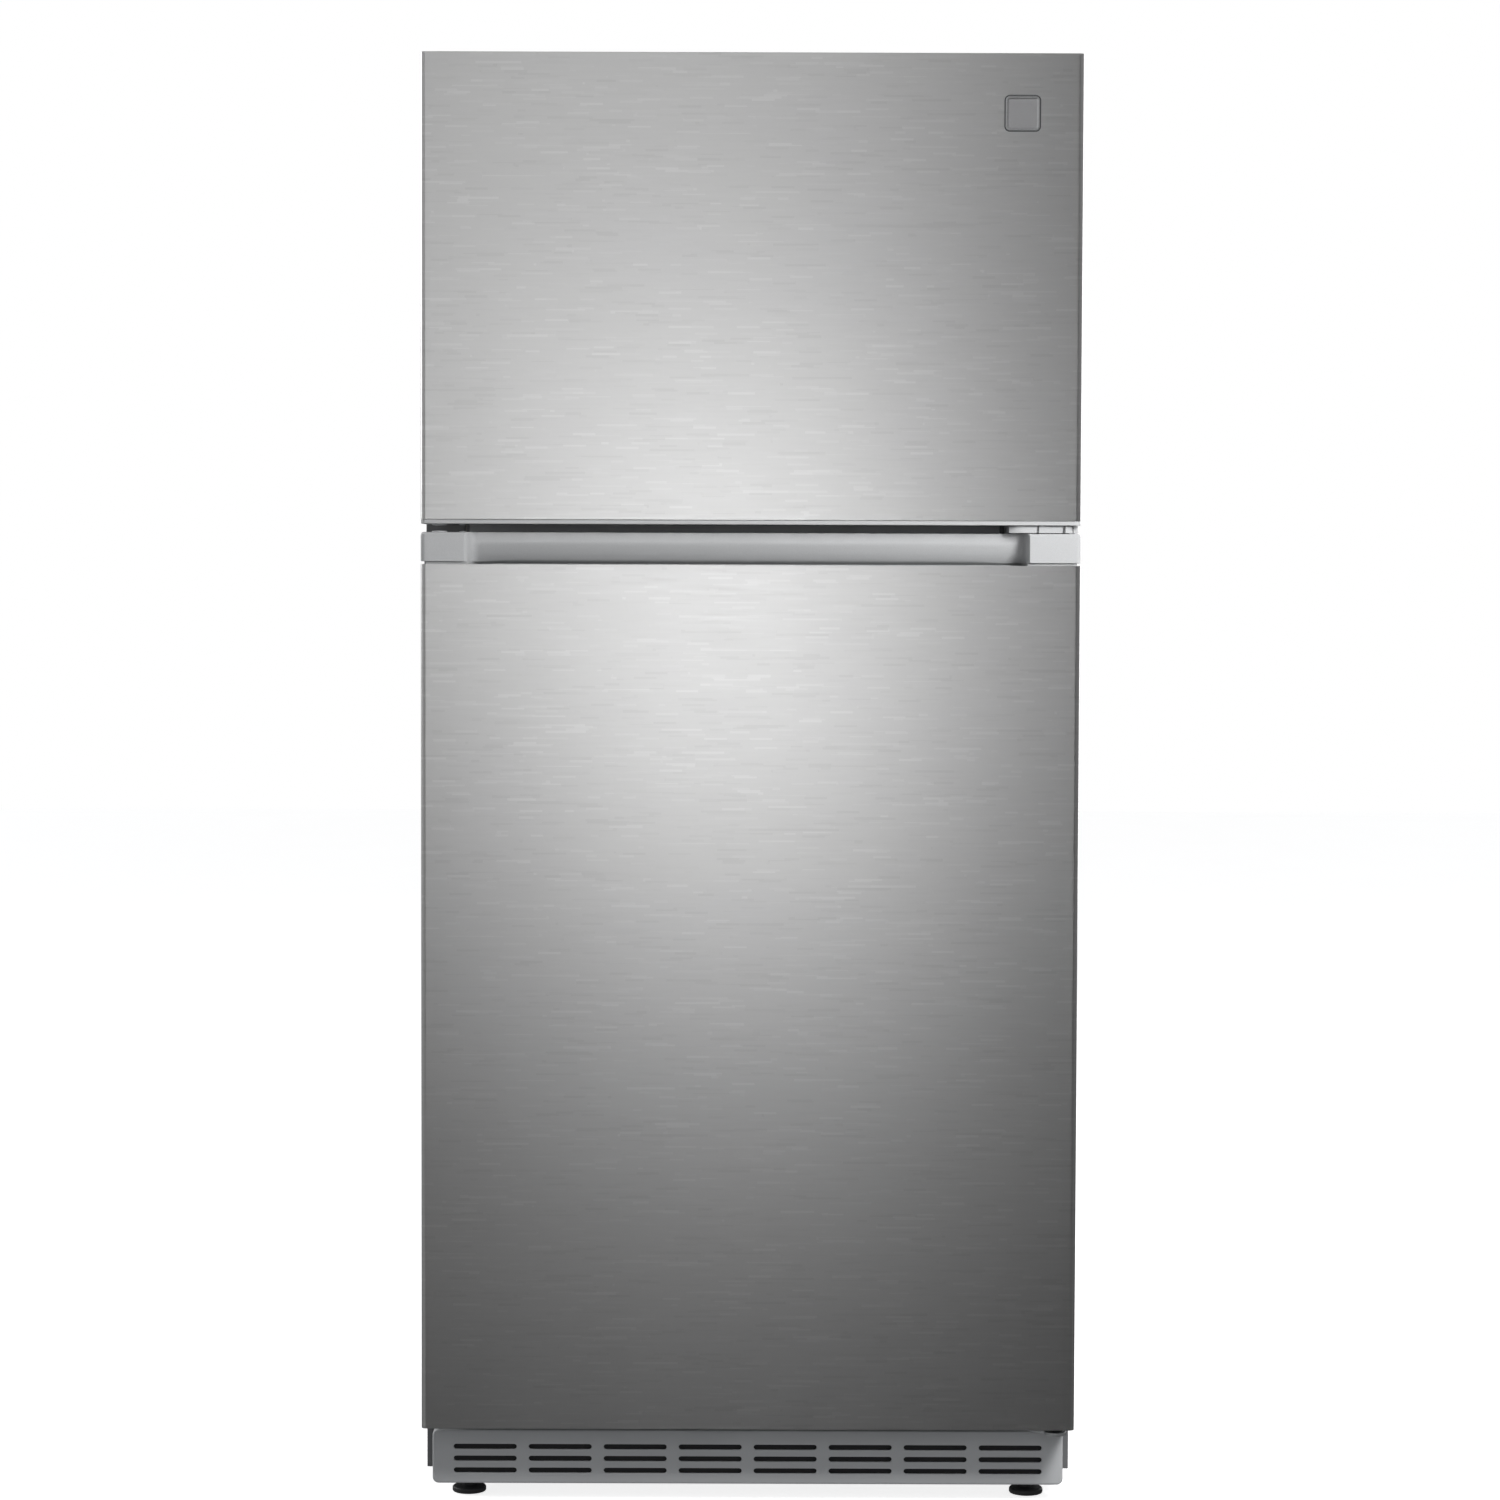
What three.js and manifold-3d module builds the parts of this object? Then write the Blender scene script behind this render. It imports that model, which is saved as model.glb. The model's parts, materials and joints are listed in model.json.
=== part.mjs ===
// A top freezer refrigerator of the 30 inch class, with two steel doors hinged on the right.
// Millimetres. X runs to the right, Y to the back, Z up. The origin is on the floor, under the middle of the box
// that the whole object fills, so the doors face -Y.
import * as THREE from "three";
import { mergeVertices } from "three/addons/utils/BufferGeometryUtils.js";
import Module from "manifold-3d";

const wasm = await Module();
wasm.setup();

// Overall size
const WIDTH = 756;
const DEPTH = 832;
const HEIGHT = 1680;
const HALF = WIDTH / 2;
const FRONT = -DEPTH / 2;
const BACK = DEPTH / 2;

// Material thicknesses and gaps
const SHEET = 1.2; // steel sheet
const WALL = 3; // moulded plastic
const GAP = 0.3; // between pieces that touch
const CLEAR = 0.5; // between pieces that pass each other

// Cabinet
const CASE_TOP = 1658;
const CASE_LOW = 34;
const CASE_FRONT = FRONT + 80;
const CASE_REAR = BACK - 12;
const CASE_CORNER = 8;
const FLANGE = 46; // width of the steel face around the openings
const MULLION = [1094, 1184]; // steel strip between the two openings
const SILL_TOP = 148; // top of the steel face below the lower opening

// Compartments
const FREEZER = { half: 318, back: 325, low: 1190, high: 1600 };
const FRIDGE = { half: 328, back: 330, low: 152, high: 1088 };
const HUMP = { foot: [118, 152], crest: [140, 335], rear: [330, 345] }; // step over the machine compartment
const MACHINE = { front: 172, top: 300 };

// Base
const RAIL = { low: 44, high: 70, width: 42, wall: 2 };
const LEG = { x: 330, y: -314, foot: 20, stem: 5 };
const ROLLER = { x: 330, y: 340, radius: 18, width: 21, axle: 4, bore: 4.6 };

// Doors
const DOOR_BACK = FRONT + 68; // the plane of the inner panel's back face
const DOOR_CORE = DOOR_BACK - 4; // the caps, the skin and the foam end just in front of the inner panel
const FRIDGE_DOOR = { low: 98, high: 1134.5, skinHigh: 1098 };
const FREEZER_DOOR = { low: 1144, skinLow: 1149, deck: 1654.5, high: HEIGHT };
const DOOR_CORNER = 6;
const CAP = 24; // height of a plain end cap
const GASKET = { inset: 22, width: 16 };
const DYKE = { half: 300, width: 28, rear: -305, wall: 2.5 }; // raised rim on the inside of a door
const GRIP = { half: 325, back: -382, lip: 8, height: 27, depth: 34 };

// Hinges: one upright axis for both doors
const PIN = { x: 358, y: -391, radius: 5, bore: 5.6 };
const HINGE_PLATE = 4;

// Shelves, drawers and bins
const SHELF = { half: 325, front: -232, back: 308, thick: 14, rim: 18, glass: 5 };
const SHELF_LEVELS = [823, 583, 352]; // tops of the ledges that carry them
const FREEZER_SHELF = { half: 316, front: -232, back: 232, ledge: 1392, thick: 8 };
const LEDGE = { reach: 9.5, thick: 6 };
const CRISPER = { half: 160, front: -195, back: 106, low: 153, high: 344, centre: 164 };
const BIN = { half: 268, rear: -346, reach: 84 };
const FRIDGE_BINS = { dairy_bin: [842, 938], fridge_bin_middle: [560, 670], fridge_bin_lower: [208, 334] };
const FREEZER_BINS = { freezer_bin_upper: [1400, 1490], freezer_bin_lower: [1238, 1330] };

const paint = (color, roughness, metalness = 0) =>
  new THREE.MeshStandardMaterial({ color, roughness, metalness });
const MATERIALS = {
  steel: paint(0xb4b5b6, 0.35, 1),
  silver: paint(0xc9cacb, 0.4, 0.3),
  case: paint(0x77797b, 0.5, 0.3),
  zinc: paint(0xd4d6d8, 0.4, 0.9),
  white: paint(0xf1f2f2, 0.35),
  grey: paint(0xa7aaac, 0.6),
  rubber: paint(0x8d8f91, 0.85),
  foam: paint(0xe8dcae, 0.95),
  glass: paint(0xcfe3df, 0.05),
  clear: paint(0xdfe9ee, 0.12),
  black: paint(0x1c1d1f, 0.5),
  copper: paint(0xb46a45, 0.35, 0.9),
  aluminium: paint(0xc3c6c8, 0.4, 0.9),
};

// Shapes, as manifold-3d solids made from three.js geometry

function solid(geometry) {
  const bare = geometry.index ? geometry.toNonIndexed() : geometry.clone();
  bare.deleteAttribute("normal");
  bare.deleteAttribute("uv");
  const merged = mergeVertices(bare, 1e-4);
  const vertProperties = merged.attributes.position.array;
  const triVerts = new Uint32Array(merged.index.array);
  return new wasm.Manifold(new wasm.Mesh({ numProp: 3, vertProperties, triVerts }));
}

function block([x0, x1], [y0, y1], [z0, z1]) {
  const box = new THREE.BoxGeometry(x1 - x0, y1 - y0, z1 - z0);
  return solid(box.translate((x0 + x1) / 2, (y0 + y1) / 2, (z0 + z1) / 2));
}

// A cylinder along one axis. The two numbers of at are its place along the other two axes, in X, Y, Z order.
function rod(axis, radius, [from, to], at, sides = 20) {
  const cylinder = new THREE.CylinderGeometry(radius, radius, to - from, sides);
  const middle = (from + to) / 2;
  if (axis === "x") return solid(cylinder.rotateZ(Math.PI / 2).translate(middle, at[0], at[1]));
  if (axis === "y") return solid(cylinder.translate(at[0], middle, at[1]));
  return solid(cylinder.rotateX(Math.PI / 2).translate(at[0], at[1], middle));
}

// An outline pushed along one axis. Its two coordinates are the other two axes, in X, Y, Z order.
function prism(axis, outline, [from, to], curveSegments = 5) {
  const shape = Array.isArray(outline)
    ? new THREE.Shape(outline.map(([u, v]) => new THREE.Vector2(u, v)))
    : outline;
  const depth = to - from;
  const bar = new THREE.ExtrudeGeometry(shape, { depth, bevelEnabled: false, curveSegments });
  if (axis === "x") {
    bar.applyMatrix4(new THREE.Matrix4().set(0, 0, 1, 0, 1, 0, 0, 0, 0, 1, 0, 0, 0, 0, 0, 1));
    return solid(bar.translate(from, 0, 0));
  }
  if (axis === "y") return solid(bar.rotateX(Math.PI / 2).translate(0, to, 0));
  return solid(bar.translate(0, 0, from));
}

function lathe(profile, sides = 20) {
  const points = profile.map(([r, z]) => new THREE.Vector2(r, z));
  return solid(new THREE.LatheGeometry(points, sides).rotateX(Math.PI / 2));
}

const both = (half) => [-half, half];
const join = (first, ...rest) => rest.reduce((sum, one) => sum.add(one), first);
const cut = (first, ...rest) => rest.reduce((left, one) => left.subtract(one), first);
// The same solid on both sides of the middle plane
const mirrored = (make) => make(1).add(make(-1));
// A span from a to b on the right side, or its mirror image on the left
const sided = (side, a, b) => (side > 0 ? [a, b] : [-b, -a]);

function piece(name, shape, material, position = [0, 0, 0]) {
  const { vertProperties, triVerts } = shape.getMesh();
  const geometry = new THREE.BufferGeometry();
  geometry.setAttribute("position", new THREE.BufferAttribute(vertProperties, 3));
  geometry.setIndex(new THREE.BufferAttribute(triVerts, 1));
  geometry.computeVertexNormals();
  const mesh = new THREE.Mesh(geometry, MATERIALS[material]);
  mesh.name = name;
  mesh.position.set(...position);
  return mesh;
}

// A rectangle whose two top corners are rounded
function arch(half, low, high, radius) {
  const shape = new THREE.Shape();
  shape.moveTo(-half, low);
  shape.lineTo(half, low);
  shape.absarc(half - radius, high - radius, radius, 0, Math.PI / 2);
  shape.absarc(-half + radius, high - radius, radius, Math.PI / 2, Math.PI);
  return shape;
}

// The plan of a door piece: a rectangle whose two front corners are rounded
function plan(half, front, back, radius) {
  const shape = new THREE.Shape();
  shape.moveTo(half, back);
  shape.lineTo(-half, back);
  shape.absarc(-half + radius, front + radius, radius, Math.PI, 1.5 * Math.PI);
  shape.absarc(half - radius, front + radius, radius, 1.5 * Math.PI, 2 * Math.PI);
  return shape;
}

// A picture frame that faces the front
function ring(half, width, y, [low, high]) {
  const hole = block(both(half - width), [y[0] - 1, y[1] + 1], [low + width, high - width]);
  return cut(block(both(half), y, [low, high]), hole);
}

// Cabinet

function cabinetShell() {
  const y = [CASE_FRONT, CASE_REAR];
  const outer = prism("y", arch(HALF, CASE_LOW, CASE_TOP, CASE_CORNER), y);
  const inside = arch(HALF - SHEET, CASE_LOW - 10, CASE_TOP - SHEET, CASE_CORNER - SHEET);
  const hollow = prism("y", inside, [CASE_FRONT + SHEET, CASE_REAR + 10]);
  const opening = block(
    both(HALF - FLANGE),
    [CASE_FRONT - 10, CASE_FRONT + 10],
    [CASE_LOW - 10, CASE_TOP - FLANGE],
  );
  return cut(outer, hollow, opening);
}

function backPanel() {
  const y = [CASE_REAR - 1.6, CASE_REAR - 1.6 + SHEET];
  return block(both(HALF - SHEET - GAP), y, [MACHINE.top + 2, CASE_TOP - SHEET - GAP - CASE_CORNER]);
}

const BASE_HALF = HALF - SHEET - GAP;
const BASE_FRONT = CASE_FRONT + 2;
const BASE_BACK = CASE_REAR - 2;
const DECK = 1.5;

// The steel deck: under the lower compartment, up the step and over the machine compartment
function deck() {
  const { front, top } = MACHINE;
  const low = RAIL.high;
  const outline = [
    [BASE_FRONT, low],
    [front, low],
    [front, top],
    [BASE_BACK, top],
    [BASE_BACK, top + DECK],
    [front - DECK, top + DECK],
    [front - DECK, low + DECK],
    [BASE_FRONT, low + DECK],
  ];
  return prism("x", outline, both(BASE_HALF));
}

// Four steel channels in a rectangle, open underneath
function channels() {
  const { low, high, width, wall } = RAIL;
  const frame = (inset, z) => {
    const from = BASE_FRONT + inset;
    const to = BASE_BACK - inset;
    const reach = width - 2 * inset;
    const hole = block(both(BASE_HALF - inset - reach), [from + reach, to - reach], [0, 99]);
    return cut(block(both(BASE_HALF - inset), [from, to], z), hole);
  };
  return cut(frame(0, [low, high + 1]), frame(wall, [low - 1, high - wall]));
}

// Two ears and an axle for one rear wheel
function rollerFork(side) {
  const half = ROLLER.width / 2 + 0.5;
  const ear = (x) => block([x, x + WALL], [ROLLER.y - 14, ROLLER.y + 14], [8, RAIL.high + 1]);
  const left = side * ROLLER.x - half - WALL;
  const right = side * ROLLER.x + half;
  const axle = rod("x", ROLLER.axle, [left, right + WALL], [ROLLER.y, ROLLER.radius]);
  return join(ear(left), ear(right), axle);
}

function baseFrame() {
  const sill = block(both(HALF - FLANGE - 0.5), [CASE_FRONT, BASE_FRONT + 1], [RAIL.low, SILL_TOP]);
  const tray = block(both(BASE_HALF), [MACHINE.front - 1, BASE_BACK], [RAIL.high, RAIL.high + 2]);
  const legHole = (side) => rod("z", LEG.stem + 1, [60, 80], [side * LEG.x, LEG.y]);
  return cut(join(channels(), deck(), sill, tray, mirrored(rollerFork)), mirrored(legHole));
}

function tubProfile(grow) {
  const [footY, footZ] = HUMP.foot;
  const [crestY, crestZ] = HUMP.crest;
  const [rearY, rearZ] = HUMP.rear;
  return [
    [CASE_FRONT, FRIDGE.low - grow],
    [footY + 0.9 * grow, footZ - grow],
    [crestY + 0.9 * grow, crestZ - grow],
    [rearY + grow, rearZ - grow],
    [FRIDGE.back + grow, FRIDGE.high + grow],
    [CASE_FRONT, FRIDGE.high + grow],
  ];
}

const fridgeTub = (grow) => prism("x", tubProfile(grow), both(FRIDGE.half + grow));
const freezerTub = (grow) =>
  block(
    both(FREEZER.half + grow),
    [CASE_FRONT, FREEZER.back + grow],
    [FREEZER.low - grow, FREEZER.high + grow],
  );
// The flat plastic rim that meets the steel face around an opening
const rim = (low, high) => block(both(HALF - FLANGE - 0.4), [CASE_FRONT, CASE_FRONT + WALL], [low, high]);
// Cuts a tub open at the front
const mouth = (half, low, high) => block(both(half), [CASE_FRONT - 5, CASE_FRONT + 5], [low, high]);

function ledge(side, half, y, top) {
  return block(sided(side, half - LEDGE.reach, half + 1), y, [top - LEDGE.thick, top]);
}

function fridgeLiner() {
  const { half, low, high } = FRIDGE;
  const shell = fridgeTub(WALL).add(rim(SILL_TOP + 0.4, MULLION[0] - 0.4));
  const tub = cut(shell, fridgeTub(0), mouth(half, low, high));
  const ledges = SHELF_LEVELS.map((top) => mirrored((side) => ledge(side, half, [-200, 300], top)));
  return join(tub, ...ledges);
}

function freezerLiner() {
  const { half, low, high } = FREEZER;
  const shell = freezerTub(WALL).add(rim(MULLION[1] + 0.4, CASE_TOP - FLANGE - 0.4));
  const tub = cut(shell, freezerTub(0), mouth(half, low, high));
  const support = (side) => ledge(side, half, [-200, 225], FREEZER_SHELF.ledge);
  return tub.add(mirrored(support));
}

function cabinetFoam() {
  const front = CASE_FRONT + 3.4;
  const half = HALF - SHEET - 0.4;
  const body = prism(
    "y",
    arch(half, RAIL.high + DECK + GAP, CASE_TOP - SHEET - 0.4, CASE_CORNER - SHEET),
    [front, CASE_REAR - 2],
  );
  const around = WALL + GAP;
  const machine = block(
    both(HALF),
    [MACHINE.front - DECK - GAP, BACK],
    [0, MACHINE.top + DECK + GAP],
  );
  const stripReturns = block(both(HALF - FLANGE), [CASE_FRONT, CASE_FRONT + 15], [
    MULLION[0] - GAP,
    MULLION[1] + GAP,
  ]);
  return cut(body, fridgeTub(around), freezerTub(around), machine, stripReturns);
}

function mullionCover() {
  const [low, high] = MULLION;
  const half = HALF - FLANGE - 0.4;
  const y = [CASE_FRONT, CASE_FRONT + 14];
  const hollow = block(both(HALF), [CASE_FRONT + SHEET, BACK], [low + SHEET, high - SHEET]);
  return cut(block(both(half), y, MULLION), hollow);
}

// A grid of level slots through a thin upright wall
function slots(centreZ, rows, pitch, width, height, y, centres) {
  const cuts = [];
  for (let row = 0; row < rows; row++) {
    const z = centreZ + (row - (rows - 1) / 2) * pitch;
    for (const x of centres) {
      cuts.push(block([x - width / 2, x + width / 2], y, [z - height / 2, z + height / 2]));
    }
  }
  return cuts;
}

const spread = (count, pitch) => Array.from({ length: count }, (_, i) => (i - (count - 1) / 2) * pitch);

function toeGrille() {
  const half = 370;
  const y = [CASE_FRONT - 24, CASE_FRONT - 4];
  const z = [20, 84];
  const hollow = block(both(half - WALL), [y[0] + WALL, y[1] + 1], [z[0] - 1, z[1] - WALL]);
  const holes = slots(50, 3, 14, 74, 6, [y[0] - 1, y[0] + 4], spread(8, 88));
  return cut(block(both(half), y, z), hollow, ...holes);
}

// Hinges

// The plan of a hinge arm: a plate on the cabinet that narrows to a round end about the pin
function armPlan(left, right, back, radius) {
  const turn = Math.acos((right - PIN.x) / radius);
  const shape = new THREE.Shape();
  shape.moveTo(left, back);
  shape.lineTo(right, back);
  shape.absarc(PIN.x, PIN.y, radius, turn, -Math.PI, true);
  shape.lineTo(left, PIN.y + 40);
  return shape;
}

const pin = (z) => rod("z", PIN.radius, z, [PIN.x, PIN.y]);

function topHinge() {
  const z = [CASE_TOP + 0.4, CASE_TOP + 0.4 + HINGE_PLATE];
  const plate = prism("z", armPlan(290, PIN.x + 1, -280, 12), z);
  return plate.add(pin([FREEZER_DOOR.deck - 18, z[1]]));
}

function topHingeCover() {
  const grown = (by) => armPlan(290 - by, PIN.x + 1 + by, -280 + 16 * by, 12 + by);
  const outer = prism("z", grown(2.6), [CASE_TOP + 0.4, HEIGHT - 3]);
  return cut(outer, prism("z", grown(0.6), [CASE_TOP, HEIGHT - 5]));
}

function centreHinge() {
  const z = [FRIDGE_DOOR.high + 2.8, FRIDGE_DOOR.high + 2.8 + HINGE_PLATE];
  const face = CASE_FRONT - CLEAR;
  const plate = prism("z", armPlan(296, PIN.x + 12, face, 13), z);
  const flange = block([296, PIN.x + 12], [face - WALL, face], [1116, 1162]);
  return join(plate, flange, pin([FRIDGE_DOOR.high - 20, FREEZER_DOOR.low + 20]));
}

function bottomHinge() {
  const z = [FRIDGE_DOOR.low - 10, FRIDGE_DOOR.low - 10 + HINGE_PLATE];
  const face = CASE_FRONT - CLEAR;
  const plate = prism("z", armPlan(300, PIN.x + 12, face, 13), z);
  const flange = block([300, PIN.x + 12], [face - WALL, face], [52, z[1]]);
  return join(plate, flange, pin([z[0], FRIDGE_DOOR.low + 18]));
}

// Doors

const doorPlan = (inset, back = DOOR_CORE) =>
  plan(HALF - inset, FRONT + inset, back, DOOR_CORNER - inset);

function doorSkin([low, high]) {
  const sheet = prism("z", doorPlan(0), [low, high]);
  return cut(sheet, prism("z", doorPlan(SHEET, DOOR_BACK), [low - 1, high + 1]));
}

const BADGE = { x: 308, z: 1612, half: 20 };

function freezerSkin() {
  const { deck: top, skinLow, high } = FREEZER_DOOR;
  const behindLip = block(both(HALF + 1), [FRONT + 7, 0], [top, high + 1]);
  const around = BADGE.half + GAP;
  const seat = block([BADGE.x - around, BADGE.x + around], [FRONT - 1, FRONT + 4], [
    BADGE.z - around,
    BADGE.z + around,
  ]);
  return cut(doorSkin([skinLow, high]), behindLip, seat);
}

function badge() {
  const { x, z, half } = BADGE;
  return block([x - half, x + half], [FRONT, FRONT + SHEET], [z - half, z + half]);
}

// A plastic cap inside the skin, hollow on its foam side, with a boss and a bore for the hinge pin
function endCap([low, high], hollowZ, boreZ) {
  const body = prism("z", doorPlan(1.5), [low, high]);
  const hollow = block(both(HALF - 6), [FRONT + 6, DOOR_CORE - 4], hollowZ);
  const boss = rod("z", 12, [low, high], [PIN.x, PIN.y]);
  return cut(cut(body, hollow).add(boss), rod("z", PIN.bore, boreZ, [PIN.x, PIN.y]));
}

function fridgeBottomCap() {
  const { low } = FRIDGE_DOOR;
  return endCap([low, low + CAP], [low + 4, low + CAP + 1], [low - 1, low + CAP - 3]);
}

function freezerTopCap() {
  const { deck: top, high } = FREEZER_DOOR;
  const cap = endCap([top - CAP, top], [top - CAP - 1, top - 4], [top - CAP + 3, top + 1]);
  const lip = prism("z", doorPlan(1.5, FRONT + 7), [top - 1, high - GAP]);
  return cap.add(lip);
}

// Open channels on the foam side of a cap that has a grip: one behind the grip and one at each end
function gripHollows(z) {
  const back = DOOR_CORE - 4;
  const behind = block(both(HALF - 6), [GRIP.back + 3.5, back], z);
  return behind.add(mirrored((side) => block(sided(side, GRIP.half + 6, HALF - 6), [FRONT + 5, back], z)));
}

const boss = (z) => rod("z", 12, z, [PIN.x, PIN.y]);
const bore = (z) => rod("z", PIN.bore, z, [PIN.x, PIN.y]);

function freezerBottomCap() {
  const { low, skinLow } = FREEZER_DOOR;
  const high = skinLow + GRIP.height;
  const lip = prism("z", doorPlan(0.4), [low, skinLow - GAP]);
  const body = prism("z", doorPlan(1.5), [skinLow - 1, high]).add(lip);
  const grip = block(both(GRIP.half - 6), [FRONT + GRIP.lip + 2, GRIP.back], [low - 5, high - 5]);
  const shell = cut(body, grip, gripHollows([skinLow - 1, high + 1]));
  return cut(shell.add(boss([low, high])), bore([low - 1, low + 22]));
}

// The plan of the grip seen from above: its end walls slope in from the front
function gripPlan() {
  const { half, back } = GRIP;
  const shape = new THREE.Shape();
  shape.moveTo(-half - 2, FRONT - 4);
  shape.lineTo(half + 2, FRONT - 4);
  shape.lineTo(half + 2, FRONT);
  shape.bezierCurveTo(half - 8, FRONT + 3, half - 20, back - 6, half - 26, back);
  shape.lineTo(-half + 26, back);
  shape.bezierCurveTo(-half + 20, back - 6, -half + 8, FRONT + 3, -half - 2, FRONT);
  return shape;
}

function fridgeHandle() {
  const { high, skinHigh } = FRIDGE_DOOR;
  const low = skinHigh - GRIP.depth;
  const face = prism("y", arch(HALF, skinHigh + GAP, high, 4), [FRONT, DOOR_CORE]);
  const cap = prism("z", doorPlan(0), [skinHigh, high]).intersect(face);
  const insert = prism("z", doorPlan(1.5), [low, skinHigh + 1]);
  const grip = prism("z", gripPlan(), [skinHigh, high + 5]);
  const well = block(both(GRIP.half - 26), [FRONT + GRIP.lip, GRIP.back], [low + 8, skinHigh + 5]);
  const shell = cut(cap.add(insert), grip, well, gripHollows([low - 1, high - 3.5]));
  return cut(shell.add(boss([low, high])), bore([high - 23, high + 1]));
}

function doorFoam([low, high]) {
  return prism("z", doorPlan(1.6), [low, high]);
}

// The inner panel of a door, with the raised rim and the small ledges that the bins sit on
function doorLiner([low, high], [rimLow, rimHigh], bins) {
  const face = DOOR_BACK - GAP;
  const { half, width, rear, wall } = DYKE;
  const panel = block(both(HALF - 2), [face - WALL, face], [low + 2, high - 2]);
  const rimBar = ring(half, width, [face - 1, rear], [rimLow, rimHigh]);
  const groove = ring(half - wall, width - 2 * wall, [face - 5, rear - wall], [rimLow + wall, rimHigh - wall]);
  const stops = Object.values(bins).map(([binLow]) =>
    mirrored((side) =>
      block(sided(side, BIN.half - 14, BIN.half + 5), [face - 1, rear - 6], [binLow - 6, binLow - GAP]),
    ),
  );
  return join(cut(panel.add(rimBar), groove), ...stops);
}

function gasket([low, high]) {
  const { inset, width } = GASKET;
  return ring(HALF - inset, width, [DOOR_BACK, CASE_FRONT - 0.4], [low + inset, high - inset]);
}

// A bin whose open side is up. Its origin is the middle of its lower edge on the door side
function bin(height) {
  const outline = (inset, top) => [
    [inset, inset],
    [BIN.reach - 8 - inset, inset],
    [BIN.reach - inset, top],
    [inset, top],
  ];
  const outer = prism("x", outline(0, height), both(BIN.half));
  return cut(outer, prism("x", outline(WALL, height + 1), both(BIN.half - WALL)));
}

function dairyLid() {
  const outline = new THREE.Shape();
  outline.moveTo(0, -2);
  outline.lineTo(72, -2);
  outline.quadraticCurveTo(74, -2, 75, -6);
  outline.lineTo(78, -6);
  outline.quadraticCurveTo(77, 1, 72, 1);
  outline.lineTo(0, 1);
  const span = both(BIN.half - 12);
  return prism("x", outline, span).add(rod("x", 3.5, span, [0, 0], 12));
}

// Inside the compartments

function shelfFrame(ledgeTop) {
  const { half, front, back, thick, rim: edge, glass } = SHELF;
  const z = [ledgeTop + GAP, ledgeTop + GAP + thick];
  const body = block(both(half), [front, back], z);
  const window = block(both(half - edge), [front + edge, back - edge], [0, HEIGHT]);
  const seat = block(both(half - 8), [front + 8, back - 8], [z[1] - glass - 1, z[1] + 1]);
  return cut(body, window, seat);
}

function shelfGlass(ledgeTop) {
  const { half, front, back, thick, glass } = SHELF;
  const top = ledgeTop + GAP + thick;
  return block(both(half - 8.4), [front + 8.4, back - 8.4], [top - glass - 0.7, top - 0.7]);
}

function freezerShelf() {
  const { half, front, back, ledge: top, thick } = FREEZER_SHELF;
  return block(both(half), [front, back], [top + GAP, top + GAP + thick]);
}

// A drawer with a pull lip. Its origin is under the middle of its front wall
function crisper() {
  const { half, front, back, low, high } = CRISPER;
  const length = back - front;
  const height = high - low;
  const tub = block(both(half), [0, length], [0, height]);
  const inside = block(both(half - WALL), [WALL, length - WALL], [WALL, height + 1]);
  const pull = block(both(half - 30), [-10, 1], [height - 12, height - 6]);
  return cut(tub, inside).add(pull);
}

const EVAPORATOR = { front: 240, coil: [-225, 225], fanZ: 1500 };

function evaporatorCover() {
  const y = [EVAPORATOR.front, EVAPORATOR.front + WALL];
  const through = [y[0] - 1, y[1] + 1];
  const panel = block(both(FREEZER.half - 1), y, [FREEZER.low + 0.5, FREEZER.high - 0.5]);
  const outlets = slots(1568, 2, 14, 44, 6, through, spread(9, 62));
  const inlets = slots(1212, 2, 14, 44, 6, through, spread(9, 62));
  const fanGrille = slots(EVAPORATOR.fanZ, 6, 14, 84, 6, through, [0]);
  return cut(panel, ...outlets, ...inlets, ...fanGrille);
}

// Upright aluminium fins on a spine
function evaporatorCoil() {
  const [left, right] = EVAPORATOR.coil;
  const count = 24;
  const pitch = (right - left) / (count - 1);
  const outline = [
    [right + 1, 318],
    [left - 1, 318],
  ];
  for (let i = 0; i < count; i++) {
    const x = left + i * pitch;
    outline.push([x - 1, i === 0 ? 262 : 310], [x - 1, 262], [x + 1, 262], [x + 1, 310]);
  }
  outline.splice(2, 1);
  outline.pop();
  return prism("z", outline, [1212, 1410]);
}

function evaporatorFanMotor() {
  const z = EVAPORATOR.fanZ;
  const bracket = block(both(64), [318, 322], [z - 50, z + 50]);
  const can = rod("y", 26, [292, 319], [0, z]);
  return join(bracket, can, rod("y", 3, [274, 293], [0, z], 12));
}

// Hub and blades about the Z axis, with a blind bore for the motor's shaft
function fan(radius, count) {
  let wheel = rod("z", 15, [-11, 11], [0, 0], 16);
  for (let i = 0; i < count; i++) {
    const blade = new THREE.BoxGeometry(radius - 12, 34, 2.4);
    blade.rotateX(0.5).translate((radius + 12) / 2, 0, 0).rotateZ((i / count) * 2 * Math.PI);
    wheel = wheel.add(solid(blade));
  }
  return cut(wheel, rod("z", 3.5, [-12, 8], [0, 0], 12));
}

function fridgeAirDuct() {
  const y = [312, FRIDGE.back - GAP];
  const z = [372, 1076];
  const hollow = block(both(82), [y[0] + WALL, BACK], [z[0] + WALL, z[1] - WALL]);
  const through = [y[0] - 1, y[0] + 4];
  const vents = [460, 700, 960].flatMap((level) => slots(level, 3, 12, 50, 5, through, [-40, 40]));
  return cut(block(both(85), y, z), hollow, ...vents);
}

const LAMP = { half: 150, front: -285, back: -110, low: 1058, switchX: -115, knobX: 85 };

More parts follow.
